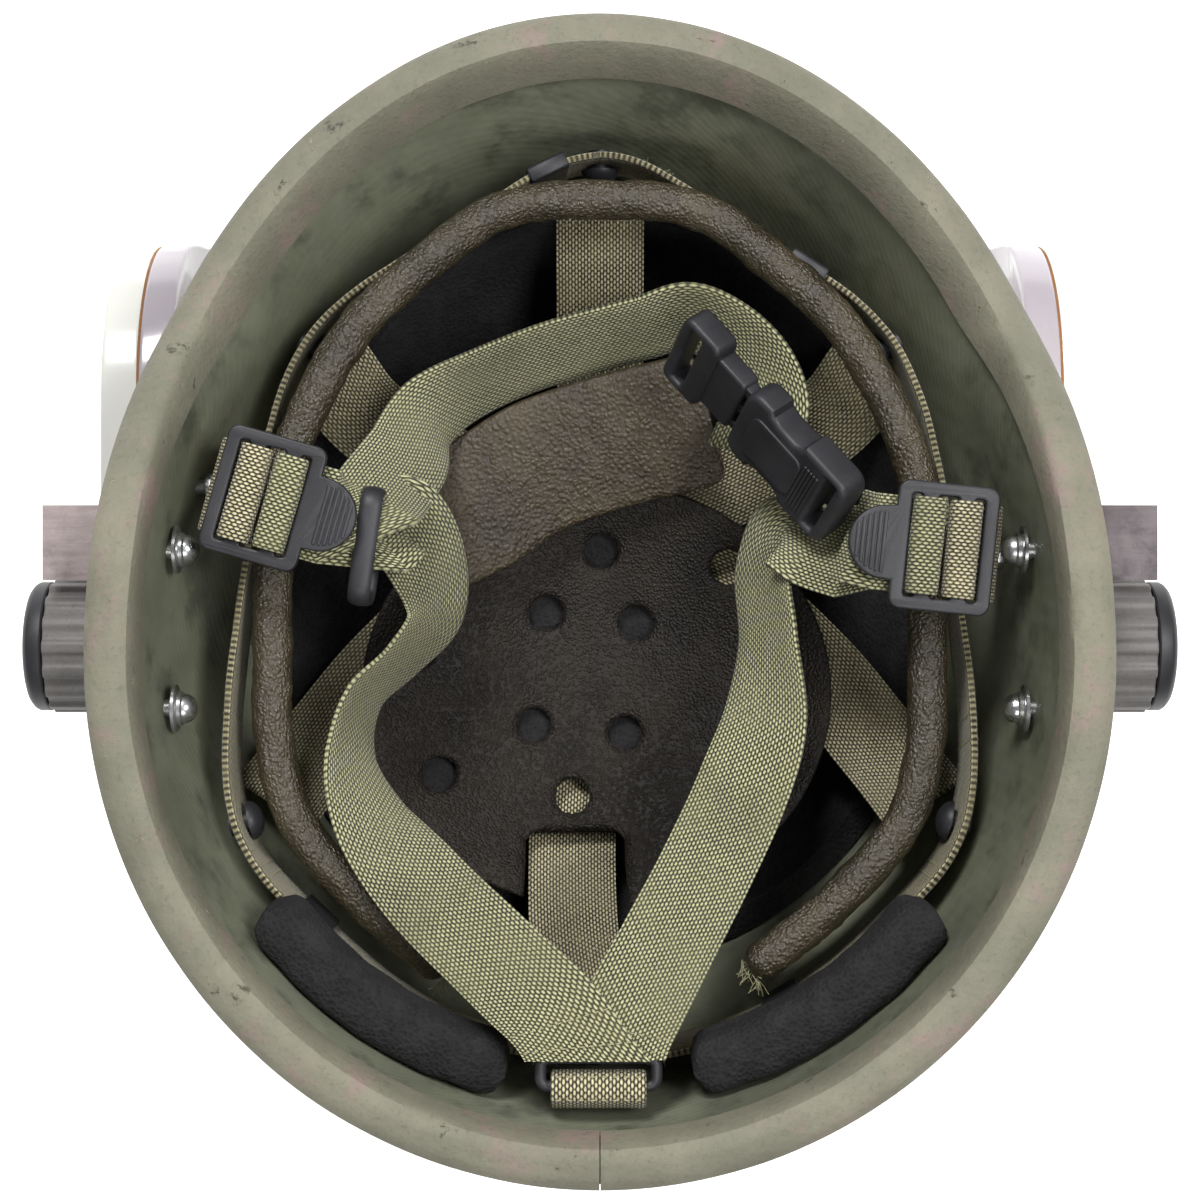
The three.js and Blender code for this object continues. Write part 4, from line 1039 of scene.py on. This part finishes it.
cupRows = [(-53, 18, 87.5, -8), (-36, 25.5, 91, -8), (-18, 37, 91, -13), (0, 43.5, 90, -15), (18, 48, 88, -15),
           (31, 51, 86, -15)]


def makeSweatband():
    rows = [(-x, y, depth, 0) for x, y, depth in reversed(sweatHalf[1:])] + [(*row, 0) for row in sweatHalf]
    frames = strapFrames(rows, sweat["steps"])
    neck = math.asin(sweat["skirtHalf"] / sweat["rollRadius"])
    rings = []
    bends = sweat["skirtBends"]
    for i, (place, rest, across) in enumerate(frames):
        end = min(i, len(frames) - 1 - i)
        taper = math.sqrt(max(1 - (1 - min(end / 4, 1)) ** 2, 0.12))
        section = [(-sweat["skirtHalf"], -sweat["skirtDrop"]), (sweat["skirtHalf"], -sweat["skirtDrop"]),
                   *[(sweat["skirtHalf"], bend) for bend in bends]]
        for j in range(sweat["sides"] + 1):
            angle = -math.pi / 2 + neck + (2 * math.pi - 2 * neck) * j / sweat["sides"]
            spot = Vector((i * 0.16, math.cos(angle) * 1.2, math.sin(angle) * 1.2))
            creases = sweat["wrinkle"] * noise.noise(spot * 1.7)
            creases += sweat["pucker"] * lumps(i * 0.75, angle * 0.8, 4)
            radius = (sweat["rollRadius"] - 0.25 + creases) * taper
            section.append((radius * math.cos(angle), radius * math.sin(angle)))
        section += [(-sweat["skirtHalf"], bend) for bend in reversed(bends)]
        rings.append([place + across * side + Vector((0, 0, height)) for side, height in section])
    piece = finished("sweatRoll", *skin(rings), looks["leather"], stands=["sweatband"], angle=60)
    return frames


def dished(x, y):
    middle = padPlan["crownMiddle"]
    away = (x - middle[0]) ** 2 + (y - middle[1]) ** 2
    return padPlan["depth"] - padPlan["dish"] * away / padPlan["dishRadius"] ** 2


def makePad():
    plan = padPlan
    cx, cy = plan["centre"]
    left, right, end = plan["notch"]
    outline = []
    for i in range(180):
        turn = 2 * math.pi * i / 180
        x, y = cx + plan["halfX"] * math.sin(turn), cy + plan["halfY"] * math.cos(turn)
        if left < x < right and y < end:
            continue
        outline.append((x, y))
    # the notch for the rear strap: its corners go in where the outline was opened
    gap = next(i for i, spot in enumerate(outline) if spot[0] < left + 12 and spot[1] < end and spot[0] <= left)
    outline[gap:gap] = [(right, end - 8), (right, end - 2), (right - 2, end), (left + 2, end),
                        (left, end - 2), (left, end - 8)]
    rims = [outline, *[circle(x, y, plan["holeRadius"], 28) for x, y in padHoles]]

    def border(x, y):
        closest = 99
        for a, b in segments:
            run = b - a
            part = min(max((Vector((x, y)) - a).dot(run) / run.length_squared, 0), 1)
            closest = min(closest, (a + run * part - Vector((x, y))).length)
        return closest

    segments = []
    for path in rims:
        segments += [(Vector(a), Vector(b)) for a, b in zip(path, [*path[1:], path[0]])]
    spots = [Vector(spot) for path in rims for spot in path]
    edges, start = [], 0
    for path in rims:
        edges += [(start + i, start + (i + 1) % len(path)) for i in range(len(path))]
        start += len(path)
    step = plan["spacing"]
    for i in range(*[int(edge / step) for edge in plan["gridX"]]):
        for j in range(*[int(edge / step) for edge in plan["gridY"]]):
            x, y = (i + 0.5 * (j % 2)) * step, j * step
            inside = ((x - cx) / plan["halfX"]) ** 2 + ((y - cy) / plan["halfY"]) ** 2 < 0.97
            if inside and not (left - 1 < x < right + 1 and y < end + 1) and min(
                    math.hypot(x - a, y - b) for a, b in padHoles) > plan["holeRadius"] + 0.8 and border(x, y) > 0.9:
                spots.append(Vector((x, y)))
    # two rows close to each rim give it a rounded edge
    for path, sign in zip(rims, [1] + [-1] * len(padHoles)):
        middle = Vector((sum(x for x, y in path) / len(path), sum(y for x, y in path) / len(path)))
        for inset in plan["edgeRows"]:
            for x, y in path:
                spots.append(Vector((x, y)) + (middle - Vector((x, y))).normalized() * inset * sign)
    flat = delaunay_2d_cdt(spots, edges, [], 0, 1e-4)
    places, triangles = flat[0], flat[2]
    kept = []
    for tri in triangles:
        middle = sum((places[i] for i in tri), Vector((0, 0))) / 3
        if min(math.hypot(middle.x - a, middle.y - b) for a, b in padHoles) < plan["holeRadius"] * 0.98:
            continue
        if not insidePath(middle, outline):
            continue
        kept.append(tuple(tri))
    rounds = []
    for spot in places:
        near = min(border(spot.x, spot.y) / plan["edgeRound"], 1)
        rounds.append(math.sqrt(max(1 - (1 - near) ** 2, 0)))
    points, count = [], len(places)
    for sign in (1, -1):
        for spot, full in zip(places, rounds):
            lump = plan["lump"] * lumps(spot.x * 0.05, spot.y * 0.05, 2)
            lump += plan["fineLump"] * lumps(spot.x * 0.2, spot.y * 0.2, 7)
            half = plan["thick"] / 2 * (0.25 + 0.75 * full)
            points.append(Vector((spot.x, spot.y, rimHeight - dished(spot.x, spot.y) + sign * half + lump)))
    faces = list(kept) + [tuple(i + count for i in reversed(tri)) for tri in kept]
    used = {}
    for a, b, c in kept:
        for edge in ((a, b), (b, c), (c, a)):
            used[edge] = True
    faces += [(b, a, a + count, b + count) for a, b in used if (b, a) not in used]
    piece = finished("crownPadLeather", points, outward(points, faces), looks["pad"], stands=["crown_pad"], angle=70)


def insidePath(spot, path):
    inside = False
    for (ax, ay), (bx, by) in zip(path, [*path[1:], path[0]]):
        if (ay > spot.y) != (by > spot.y) and spot.x < (bx - ax) * (spot.y - ay) / (by - ay) + ax:
            inside = not inside
    return inside


cup = dict(steps=14, sides=40, width=38, halfThick=2.5, dip=0.7, crease=0.45, fineCrease=0.3)


def makeCup():
    # moulded chin cup: a soft strap with a raised rim, a hollow middle and creases
    frames = strapFrames(cupRows, cup["steps"])
    rings = []
    for i, (place, along, across) in enumerate(frames):
        share = i / (len(frames) - 1)
        face = along.cross(across).normalized()
        end = min(share, 1 - share) * 14
        width = cup["width"] * (0.8 + 0.2 * math.sqrt(max(1 - max(1 - end, 0) ** 2, 0)))
        section = []
        for j in range(cup["sides"]):
            turn = 2 * math.pi * j / cup["sides"]
            box = squircle(turn, 6)
            side = width / 2 * box * math.cos(turn)
            lift = cup["halfThick"] * box * math.sin(turn)
            lift -= cup["dip"] * math.cos(side / width * math.pi) ** 2
            lift += cup["crease"] * lumps(share * 16, side * 0.12, 5)
            lift += cup["fineCrease"] * lumps(share * 40, side * 0.05, 9)
            section.append(place + across * side + face * lift)
        rings.append(section)
    piece = finished("chinCupLeather", *skin(rings), looks["cup"], stands=["chin_cup"], angle=70)


sweatFrames = makeSweatband()
makePad()
makeCup()
print("sweatband, pad and cup ready")


# Sliders, studs, buckle, nape ring and the small hard pieces

def onPlan(part, plan):
    # puts a flat part, drawn along the pull, at a slider's place
    turn, centre = plan["angle"], plan["centre"]
    points, faces = moved(part, lambda spot: Vector((
        centre[0] + spot.x * math.cos(turn) - spot.y * math.sin(turn),
        centre[1] + spot.x * math.sin(turn) + spot.y * math.cos(turn), rimHeight - centre[2] + spot.z)))
    return points, outward(points, faces)


def makeSlider(name, node, plan):
    size = sliderSize
    lengthHalf, tab, shift = size["halfLength"], size["tab"], size["tabShift"]
    outline = roundedRect(lengthHalf, size["halfWidth"], size["corner"], 5)
    # the thumb tab stands out at the end, on an arc about a point just past it
    arc = []
    for i in range(25):
        turn = -math.pi / 2 + math.pi * i / 24
        x, y = lengthHalf + shift + tab * math.cos(turn), tab * math.sin(turn)
        if x > lengthHalf:
            arc.append((x, y))
    right = [spot for spot in outline if spot[0] > 0 and spot[1] > 0]
    rest = [spot for spot in outline if spot[0] <= 0]
    low = [spot for spot in outline if spot[0] > 0 and spot[1] < 0]
    outline = [*low, (lengthHalf, -size["tabFoot"]), *arc, (lengthHalf, size["tabFoot"]), *right, *rest]
    edge = lengthHalf - size["edge"]
    bar, half = size["barAt"], size["barHalf"]
    spans = [(-edge, -bar - half), (-bar + half, bar - half), (bar + half, edge)]
    holes = []
    for a, b in spans:
        inset = min((b - a) * 0.3, 0.9)
        holes.append([((a + b) / 2 + x, y) for x, y in roundedRect((b - a) / 2, size["windowHalf"], inset, 3)])
    frameBody = roundedPlate(outline, holes, size["thick"], 0.6)
    frameBody = moved(frameBody, lambda spot: spot - Vector((0, 0, size["thick"] / 2)))
    ribs = []
    for i in range(size["ribs"]):
        # grip ribs across the tab
        run = lengthHalf + 2.6 + i * size["ribPitch"]
        wide = math.sqrt(max(tab ** 2 - (run - lengthHalf - shift) ** 2, 1)) - 1.6
        rib = roundedPlate(roundedRect(0.45, wide, 0.3, 2), [], 0.8, 0.25, 1)
        ribs.append(moved(rib, lambda spot, run=run: spot + Vector((run, 0, size["thick"] / 2 - 0.25))))
    finished(name, *onPlan(gathered(frameBody, *ribs), plan), looks["plastic"], stands=[node], angle=35)


studSpots = dict(stud_front=(0, 121, 80), stud_front_right=(79.5, 69.5, 75), stud_rear_right=(95, -59, 52),
                 stud_rear=(0, -119.5, 50), stud_rear_left=(-95, -59, 52), stud_front_left=(-79.5, 69.5, 75))


def makeStuds():
    # round-headed plastic rivets through the band
    for node, route in studSpots.items():
        at = next(i for i, row in enumerate(bandRoute) if row[:2] == route[:2])
        before, after = bandRoute[at - 1], bandRoute[(at + 1) % len(bandRoute)]
        normal = Vector((before[1] - after[1], after[0] - before[0], 0)).normalized()
        centre = Vector((route[0], route[1], rimHeight - route[2]))
        face = -2.45
        cap = [(0, face - 3.6), (1.5, face - 3.5), (3.1, face - 2.9), (4.4, face - 1.9), (5.1, face - 0.8),
               (5.2, face), (3, face)]
        stud = turned([*cap, (3, 3), (0, 3)], 32, centre, normal)
        finished(nodeName(node), stud[0], stud[1], looks["plastic"], stands=[node], angle=35)


def nodeName(node):
    words = node.split("_")
    return "rivet" + "".join(word.title() for word in words[1:])


def makeRing():
    plan = ringPlan
    wire = plan["wire"]
    path = roundedRect(plan["halfX"] - wire, plan["halfY"] - wire, 2.2, 6)
    rings = []
    for i, (x, y) in enumerate(path):
        ahead, behind = path[(i + 1) % len(path)], path[i - 1]
        along = Vector((ahead[0] - behind[0], ahead[1] - behind[1], 0)).normalized()
        side = Vector((along.y, -along.x, 0))
        centre = Vector((plan["centre"][0] + x, plan["centre"][1] + y, rimHeight - plan["centre"][2]))
        turns = [2 * math.pi * j / 14 for j in range(14)]
        rings.append([centre + side * wire * math.cos(turn) + Vector((0, 0, wire * math.sin(turn))) for turn in turns])
    finished("napeRingWire", *skin(rings, True), looks["plastic"], stands=["nape_ring"], angle=60)


buckle = dict(centre=(43.2, 44.8, 43.5), heading=-49, roll=60, pitch=-14, bodyAt=12, plugAt=-9.5,
              halfLength=19, halfWidth=13, thick=9, headHalf=7, headThick=8, headAt=-17, ribs=5, ribPitch=1.1)
waistSide = [(4, 13), (2.5, 13), (1.5, 11.2), (-1, 10.4), (-7, 10.4), (-9.5, 11.2), (-10.5, 13)]
prongSide = [(-12, 6.2), (-4, 6.6), (4, 5.6), (6.8, 4.4), (7.8, 5.4), (6.6, 7.6), (3, 8.6), (-4, 8.7), (-12, 8.7)]


def onBuckle(part, along):
    roll, pitch, heading = [math.radians(buckle[key]) for key in ("roll", "pitch", "heading")]
    turn = Matrix.Rotation(heading, 3, "Z") @ Matrix.Rotation(pitch, 3, "Y") @ Matrix.Rotation(roll, 3, "X")
    x, y, depth = buckle["centre"]
    points, faces = moved(part, lambda spot: turn @ (spot + Vector((along, 0, 0))) + Vector((x, y, rimHeight - depth)))
    return points, outward(points, faces)


def lifted(part, x, y, z):
    return moved(part, lambda spot: spot + Vector((x, y, z)))


def makeBuckle():
    # socket: a waisted shell with a raised panel on both faces, grip ribs and a slot for the strap
    outline = roundedRect(buckle["halfLength"], buckle["halfWidth"], 4.5, 6)
    upper = [spot for spot in outline if spot[1] > 0]
    lower = [spot for spot in outline if spot[1] < 0]
    waist = [(x, -y) for x, y in reversed(waistSide)]
    whole = [*[spot for spot in upper if spot[0] > 0], *waistSide, *[spot for spot in upper if spot[0] <= 0],
             *[spot for spot in lower if spot[0] <= 0], *waist, *[spot for spot in lower if spot[0] > 0]]
    slot = [(13.4 + x, y) for x, y in roundedRect(1.7, 10.6, 0.8, 3)]
    parts = [lifted(roundedPlate(whole, [slot], buckle["thick"], 1.5, 3), 0, 0, -buckle["thick"] / 2)]
    for face, lift in ((4.1, 0.25), (-5.1, 0.05)):
        panel = roundedPlate([(x * (1 - 0.002 * y * y), y) for x, y in roundedRect(10, 7.6, 2.6, 5)], [], 1.0, 0.4, 2)
        parts.append(lifted(panel, -5, 0, face))
        for i in range(buckle["ribs"]):
            rib = roundedPlate(roundedRect(0.45, 8.5, 0.4, 2), [], 0.7, 0.25, 1)
            parts.append(lifted(rib, 7.4 + buckle["ribPitch"] * (i - 2), 0, face + lift))
    socket = onBuckle(gathered(*parts), buckle["bodyAt"])
    finished("buckleSocket", *socket, looks["plastic"], stands=["buckle_body"], angle=40)
    # plug: slotted head, neck, centre guide, two sprung arms that show in the waist and a bridge behind them
    slot = [(-1.5 + x, y) for x, y in roundedRect(2, 10.5, 0.9, 3)]
    head = roundedPlate(roundedRect(buckle["headHalf"], buckle["halfWidth"], 3, 5), [slot], buckle["headThick"], 1.3, 3)
    parts = [lifted(head, buckle["headAt"], 0, -buckle["headThick"] / 2)]
    parts.append(lifted(roundedPlate(roundedRect(7, 9.6, 1.6, 3), [], 6, 0.9, 2), -6.5, 0, -3))
    parts.append(lifted(roundedPlate(roundedRect(11, 1.3, 0.5, 2), [], 3, 0.4, 1), -3, 0, -1.5))
    for prong in ([(x, y) for x, y in reversed(prongSide)], [(x, -y) for x, y in prongSide]):
        parts.append(lifted(roundedPlate(prong, [], 4, 0.5, 2), 0, 0, -2))
    parts.append(lifted(roundedPlate(roundedRect(2, 8.6, 0.5, 2), [], 3.4, 0.4, 1), -11, 0, -1.7))
    plug = onBuckle(gathered(*parts), buckle["plugAt"])
    finished("bucklePlug", *plug, looks["plastic"], stands=["buckle_tongue"], angle=40)


makeSlider("sliderFrameLeft", "slider_left", sliderLeft)
makeSlider("sliderFrameRight", "slider_right", sliderRight)
makeStuds()
makeRing()
makeBuckle()
print("small hard pieces ready")

# Sewing and loose fibres: one tree lays stitches along lines, another makes thin tubes of them

stitch = dict(pitch=2.6, length=1.7, radius=0.24, fibreRadius=0.09, proud=0.85, bandProud=1.1, boxHalf=9.5,
              greenPitch=2.2, greenLength=1.5)


def lineMesh(name, lines):
    points, edges = [], []
    for line in lines:
        start = len(points)
        points += [(x / 1000, (y + shiftY) / 1000, z / 1000) for x, y, z in line]
        edges += [(start + i, start + i + 1) for i in range(len(line) - 1)]
    data = bpy.data.meshes.new(name)
    data.from_pydata(points, edges, [])
    return data


def newTree(name, sizes):
    tree = bpy.data.node_groups.new(name, "GeometryNodeTree")
    tree.interface.new_socket("Geometry", in_out="INPUT", socket_type="NodeSocketGeometry")
    tree.interface.new_socket("Geometry", in_out="OUTPUT", socket_type="NodeSocketGeometry")
    for label, value in sizes.items():
        tree.interface.new_socket(label, in_out="INPUT", socket_type="NodeSocketFloat").default_value = value
    tree.interface.new_socket("Thread", in_out="INPUT", socket_type="NodeSocketMaterial")
    return tree, tree.nodes.new("NodeGroupInput"), tree.nodes.new("NodeGroupOutput")


def treeNode(tree, kind, settings=None, values=None):
    # a node whose inputs take numbers or other sockets
    made = tree.nodes.new(kind)
    for key, value in (settings or {}).items():
        setattr(made, key, value)
    for key, value in (values or {}).items():
        if isinstance(value, bpy.types.NodeSocket):
            tree.links.new(value, made.inputs[key])
        else:
            made.inputs[key].default_value = value
    return made


def closedTree(tree, geometry, source, target):
    real = treeNode(tree, "GeometryNodeRealizeInstances", None, {0: geometry})
    coated = treeNode(tree, "GeometryNodeSetMaterial", None,
                      {"Geometry": real.outputs[0], "Material": source.outputs["Thread"]})
    tree.links.new(coated.outputs[0], target.inputs[0])
    return tree


def stitchTree():
    tree, source, target = newTree("stitchesAlong", dict(Pitch=0.0026, Length=0.0017, Radius=0.0003))
    curve = treeNode(tree, "GeometryNodeMeshToCurve", None, {0: source.outputs["Geometry"]})
    even = treeNode(tree, "GeometryNodeResampleCurve", dict(mode="LENGTH"),
                    {"Curve": curve.outputs[0], "Length": source.outputs["Pitch"]})
    bead = treeNode(tree, "GeometryNodeMeshUVSphere", None, {"Segments": 6, "Rings": 4, "Radius": 1})
    heading = treeNode(tree, "GeometryNodeInputTangent")
    turn = treeNode(tree, "FunctionNodeAlignRotationToVector", dict(axis="X"), {"Vector": heading.outputs[0]})
    half = treeNode(tree, "ShaderNodeMath", dict(operation="MULTIPLY"), {0: source.outputs["Length"], 1: 0.5})
    thick = source.outputs["Radius"]
    size = treeNode(tree, "ShaderNodeCombineXYZ", None, {0: half.outputs[0], 1: thick, 2: thick})
    place = treeNode(tree, "GeometryNodeInstanceOnPoints", None, {
        "Points": even.outputs[0], "Instance": bead.outputs["Mesh"], "Rotation": turn.outputs[0],
        "Scale": size.outputs[0]})
    return closedTree(tree, place.outputs[0], source, target)


def fibreTree():
    tree, source, target = newTree("fibresAlong", dict(Radius=0.0001))
    curve = treeNode(tree, "GeometryNodeMeshToCurve", None, {0: source.outputs["Geometry"]})
    ring = treeNode(tree, "GeometryNodeCurvePrimitiveCircle", None,
                    {"Resolution": 5, "Radius": source.outputs["Radius"]})
    tube = treeNode(tree, "GeometryNodeCurveToMesh", None, {
        "Curve": curve.outputs[0], "Profile Curve": ring.outputs["Curve"], "Fill Caps": True})
    return closedTree(tree, tube.outputs[0], source, target)


def grown(name, lines, tree, sizes, material, body="helmet"):
    # runs a tree over lines and keeps the result as a plain mesh
    work = bpy.data.objects.new(name + "Work", lineMesh(name + "Work", lines))
    bpy.context.collection.objects.link(work)
    modifier = work.modifiers.new("grow", "NODES")
    modifier.node_group = tree
    for item in tree.interface.items_tree:
        if item.in_out == "INPUT" and item.name in sizes:
            modifier[item.identifier] = sizes[item.name] / 1000
        if item.in_out == "INPUT" and item.name == "Thread":
            modifier[item.identifier] = material
    data = bpy.data.meshes.new_from_object(work.evaluated_get(bpy.context.evaluated_depsgraph_get()))
    work.modifiers.remove(modifier)
    bpy.data.objects.remove(work)
    turnedOut(data)
    return dressed(name, data, material, body)


sewing = stitchTree()
fibres = fibreTree()


def boxStitch(frames, start, end, half, lift):
    # a rectangle with a cross, sewn through a strap between two of its frames
    start, end = [i % len(frames) for i in (start, end)]
    span = list(range(start, end + 1))
    lines = [[spotOn(frames[i], side, lift) for i in span] for side in (-half, half)]
    lines += [[spotOn(frames[i], -half + 2 * half * j / 6, lift) for j in range(7)] for i in (start, end)]
    lines += [[spotOn(frames[i], sign * (-half + 2 * half * k / (len(span) - 1)), lift) for k, i in enumerate(span)]
              for sign in (1, -1)]
    return lines


def spotOn(frame, side, lift):
    # a point on a strap's face, side across it and lift above its middle
    place, along, across = frame
    return place + across * side + along.cross(across).normalized() * lift


def fray(frame, direction, width, count, reach, seed):
    # loose threads at a cut end
    random.seed(seed)
    place, along, across = frame
    lines = []
    for i in range(count):
        spot = place + across * random.uniform(-width / 2, width / 2)
        heading = Vector(direction).normalized() + Vector([random.uniform(-0.7, 0.7) for axis in range(3)])
        heading.normalize()
        line = [spot]
        for k in range(5):
            heading = (heading + Vector([random.uniform(-0.35, 0.35) for axis in range(3)])).normalized()
            line.append(line[-1] + heading * random.uniform(0.5, 1.0) * reach / 5)
        lines.append(line)
    return lines


def sew():
    khakiLines, greenLines, frayLines = [], [], []
    for node, ends in (("crown_strap_a", ((6, 17), (-18, -7))), ("crown_strap_b", ((6, 17), (-18, -7))),
                       ("crown_strap_c", ((4, 12), (-13, -5)))):
        frames = strapLines[node]
        for start, end in ends:
            khakiLines += boxStitch(frames, start, end, stitch["boxHalf"], -stitch["proud"])
    for node in ("strap_anchor_left", "strap_anchor_right"):
        frames = strapLines[node]
        for at in (10, 13):
            khakiLines.append([spotOn(frames[at], side, stitch["proud"]) for side in range(-10, 11, 2)])
    frames = strapLines["nape_loop"]
    top = max(range(len(frames)), key=lambda i: frames[i][0].z)
    for shift in (-3, 4):
        for lift in (stitch["proud"], -stitch["proud"]):
            khakiLines.append([spotOn(frames[top + shift], side, lift) for side in range(-10, 11, 2)])
    for node in ("harness_left", "harness_right"):
        frames = strapLines[node]
        for lift in (stitch["proud"], -stitch["proud"]):
            for shift in (-4, -9):
                greenLines.append([spotOn(frames[shift], side, lift) for side in range(-11, 12, 2)])
    route = len(bandFrames)
    for share in (0, 2, 4, 7, 10, 12):
        middle = share * 20
        for shift in (-9, -7, 7, 9):
            frame = bandFrames[(middle + shift) % route]
            for lift in (stitch["bandProud"], -stitch["bandProud"]):
                khakiLines.append([spotOn(frame, side, lift) for side in range(-10, 11, 2)])
    grown("khakiStitches", khakiLines, sewing,
          dict(Pitch=stitch["pitch"], Length=stitch["length"], Radius=stitch["radius"]), looks["thread"])
    grown("greenStitches", greenLines, sewing,
          dict(Pitch=stitch["greenPitch"], Length=stitch["greenLength"], Radius=stitch["radius"]), looks["thread"])
    for share, direction in ((0, (0, 0.4, 1)), (7, (0, -0.3, 1))):
        for shift in (-8, -6, 6, 8):
            frayLines += fray(bandFrames[(share * 20 + shift) % route], direction, 20, 16, 5, share * 10 + shift)
    frayLines += fray(sweatFrames[0], (0, -1, 0.2), 8, 26, 6, 51) + fray(sweatFrames[-1], (0, -1, 0.2), 8, 26, 6, 52)
    for node, at, direction in (("nape_loop", -1, (0, -1, 0.2)), ("strap_anchor_left", 0, (-1, 0, 0.4)),
                                ("strap_anchor_right", 0, (1, 0, 0.4))):
        frayLines += fray(strapLines[node][at], direction, 22, 20, 4, 70)
    grown("looseFibres", frayLines, fibres, dict(Radius=stitch["fibreRadius"]), looks["thread"])


sew()
print("sewing ready")


# Painted shade behind the pad's holes, clips on the band and the keeper

# discs of painted shade under the crown pad's holes
padHoleShade = dict(thick=0.7, gap=0.35, radius=8.5, open=((36.6, 9.4), (-7.9, -56)))


def makePadHoleShade():
    # painted shade: thin black foam discs behind the pad's holes stand in for the shadow under the pad, but for the two
    # through which its straps show
    parts = []
    for x, y in padHoles:
        if (x, y) in padHoleShade["open"]:
            continue
        slope = Vector((dished(x + 1, y) - dished(x - 1, y), dished(x, y + 1) - dished(x, y - 1), 2)).normalized()
        radius, thick = padHoleShade["radius"], padHoleShade["thick"]
        under = padPlan["thick"] / 2 + padHoleShade["gap"] + thick
        centre = Vector((x, y, rimHeight - dished(x, y))) - slope * under
        profile = [(0, 0), (radius - 0.2, 0), (radius, 0.2), (radius, thick - 0.2), (radius - 0.2, thick), (0, thick)]
        parts.append(turned(profile, 32, centre, slope))
    finished("padHoleShadeFoam", *gathered(*parts), looks["foam"])


bandClip = dict(width=11, reach=27.5, routes=((1, 0.35), (13, 0.65), (9, 0.1), (5, 0.75)))


def makeClips():
    # folded black clips that hold the sweatband's skirt to the band
    parts = []
    for row, share in bandClip["routes"]:
        at = int((row + share) * 20) % len(bandFrames)
        place, along, across = bandFrames[at]
        face = along.cross(across).normalized()
        half, reach = bandClip["width"] / 2, bandClip["reach"] / 2
        section = roundedRect(reach, 2.3, 1.0, 3)
        rings = []
        for run in (-half, -half + 0.4, half - 0.4, half):
            narrow, thin = (0.985, 0.85) if abs(run) == half else (1, 1)
            rings.append([place + along * run + across * (a * narrow) + face * (b * thin) for a, b in section])
        parts.append(skin(rings))
    finished("bandClips", *gathered(*parts), looks["plastic"], angle=40)


keeper = dict(at=(-60.5, 14, 42), halfX=2.9, halfY=14.6, halfZ=8.6, wire=1.1, turn=math.radians(-8))


def makeKeeper():
    # an upright oval ring that gathers the strap ends beside the left slider
    x, y, depth = keeper["at"]
    turn = keeper["turn"]
    path = roundedRect(keeper["halfY"], keeper["halfZ"], 4.5, 8)
    rings = []
    for i, (a, b) in enumerate(path):
        ahead, behind = path[(i + 1) % len(path)], path[i - 1]
        out = Vector((ahead[1] - behind[1], behind[0] - ahead[0])).normalized()
        ring = []
        for j in range(12):
            angle = 2 * math.pi * j / 12
            run = keeper["halfX"] * math.cos(angle)
            swell = keeper["wire"] * math.sin(angle)
            wide, high = a + out.x * swell, b + out.y * swell
            ring.append(Vector((x + run * math.cos(turn) - wide * math.sin(turn),
                                y + run * math.sin(turn) + wide * math.cos(turn), rimHeight - depth + high)))
        rings.append(ring)
    finished("strapKeeper", *skin(rings, True), looks["plastic"], angle=60)


makePadHoleShade()
makeClips()
makeKeeper()
# the pad's painted shade discs, the clips and the keeper are made
print("padShade, clips and keeper ready")
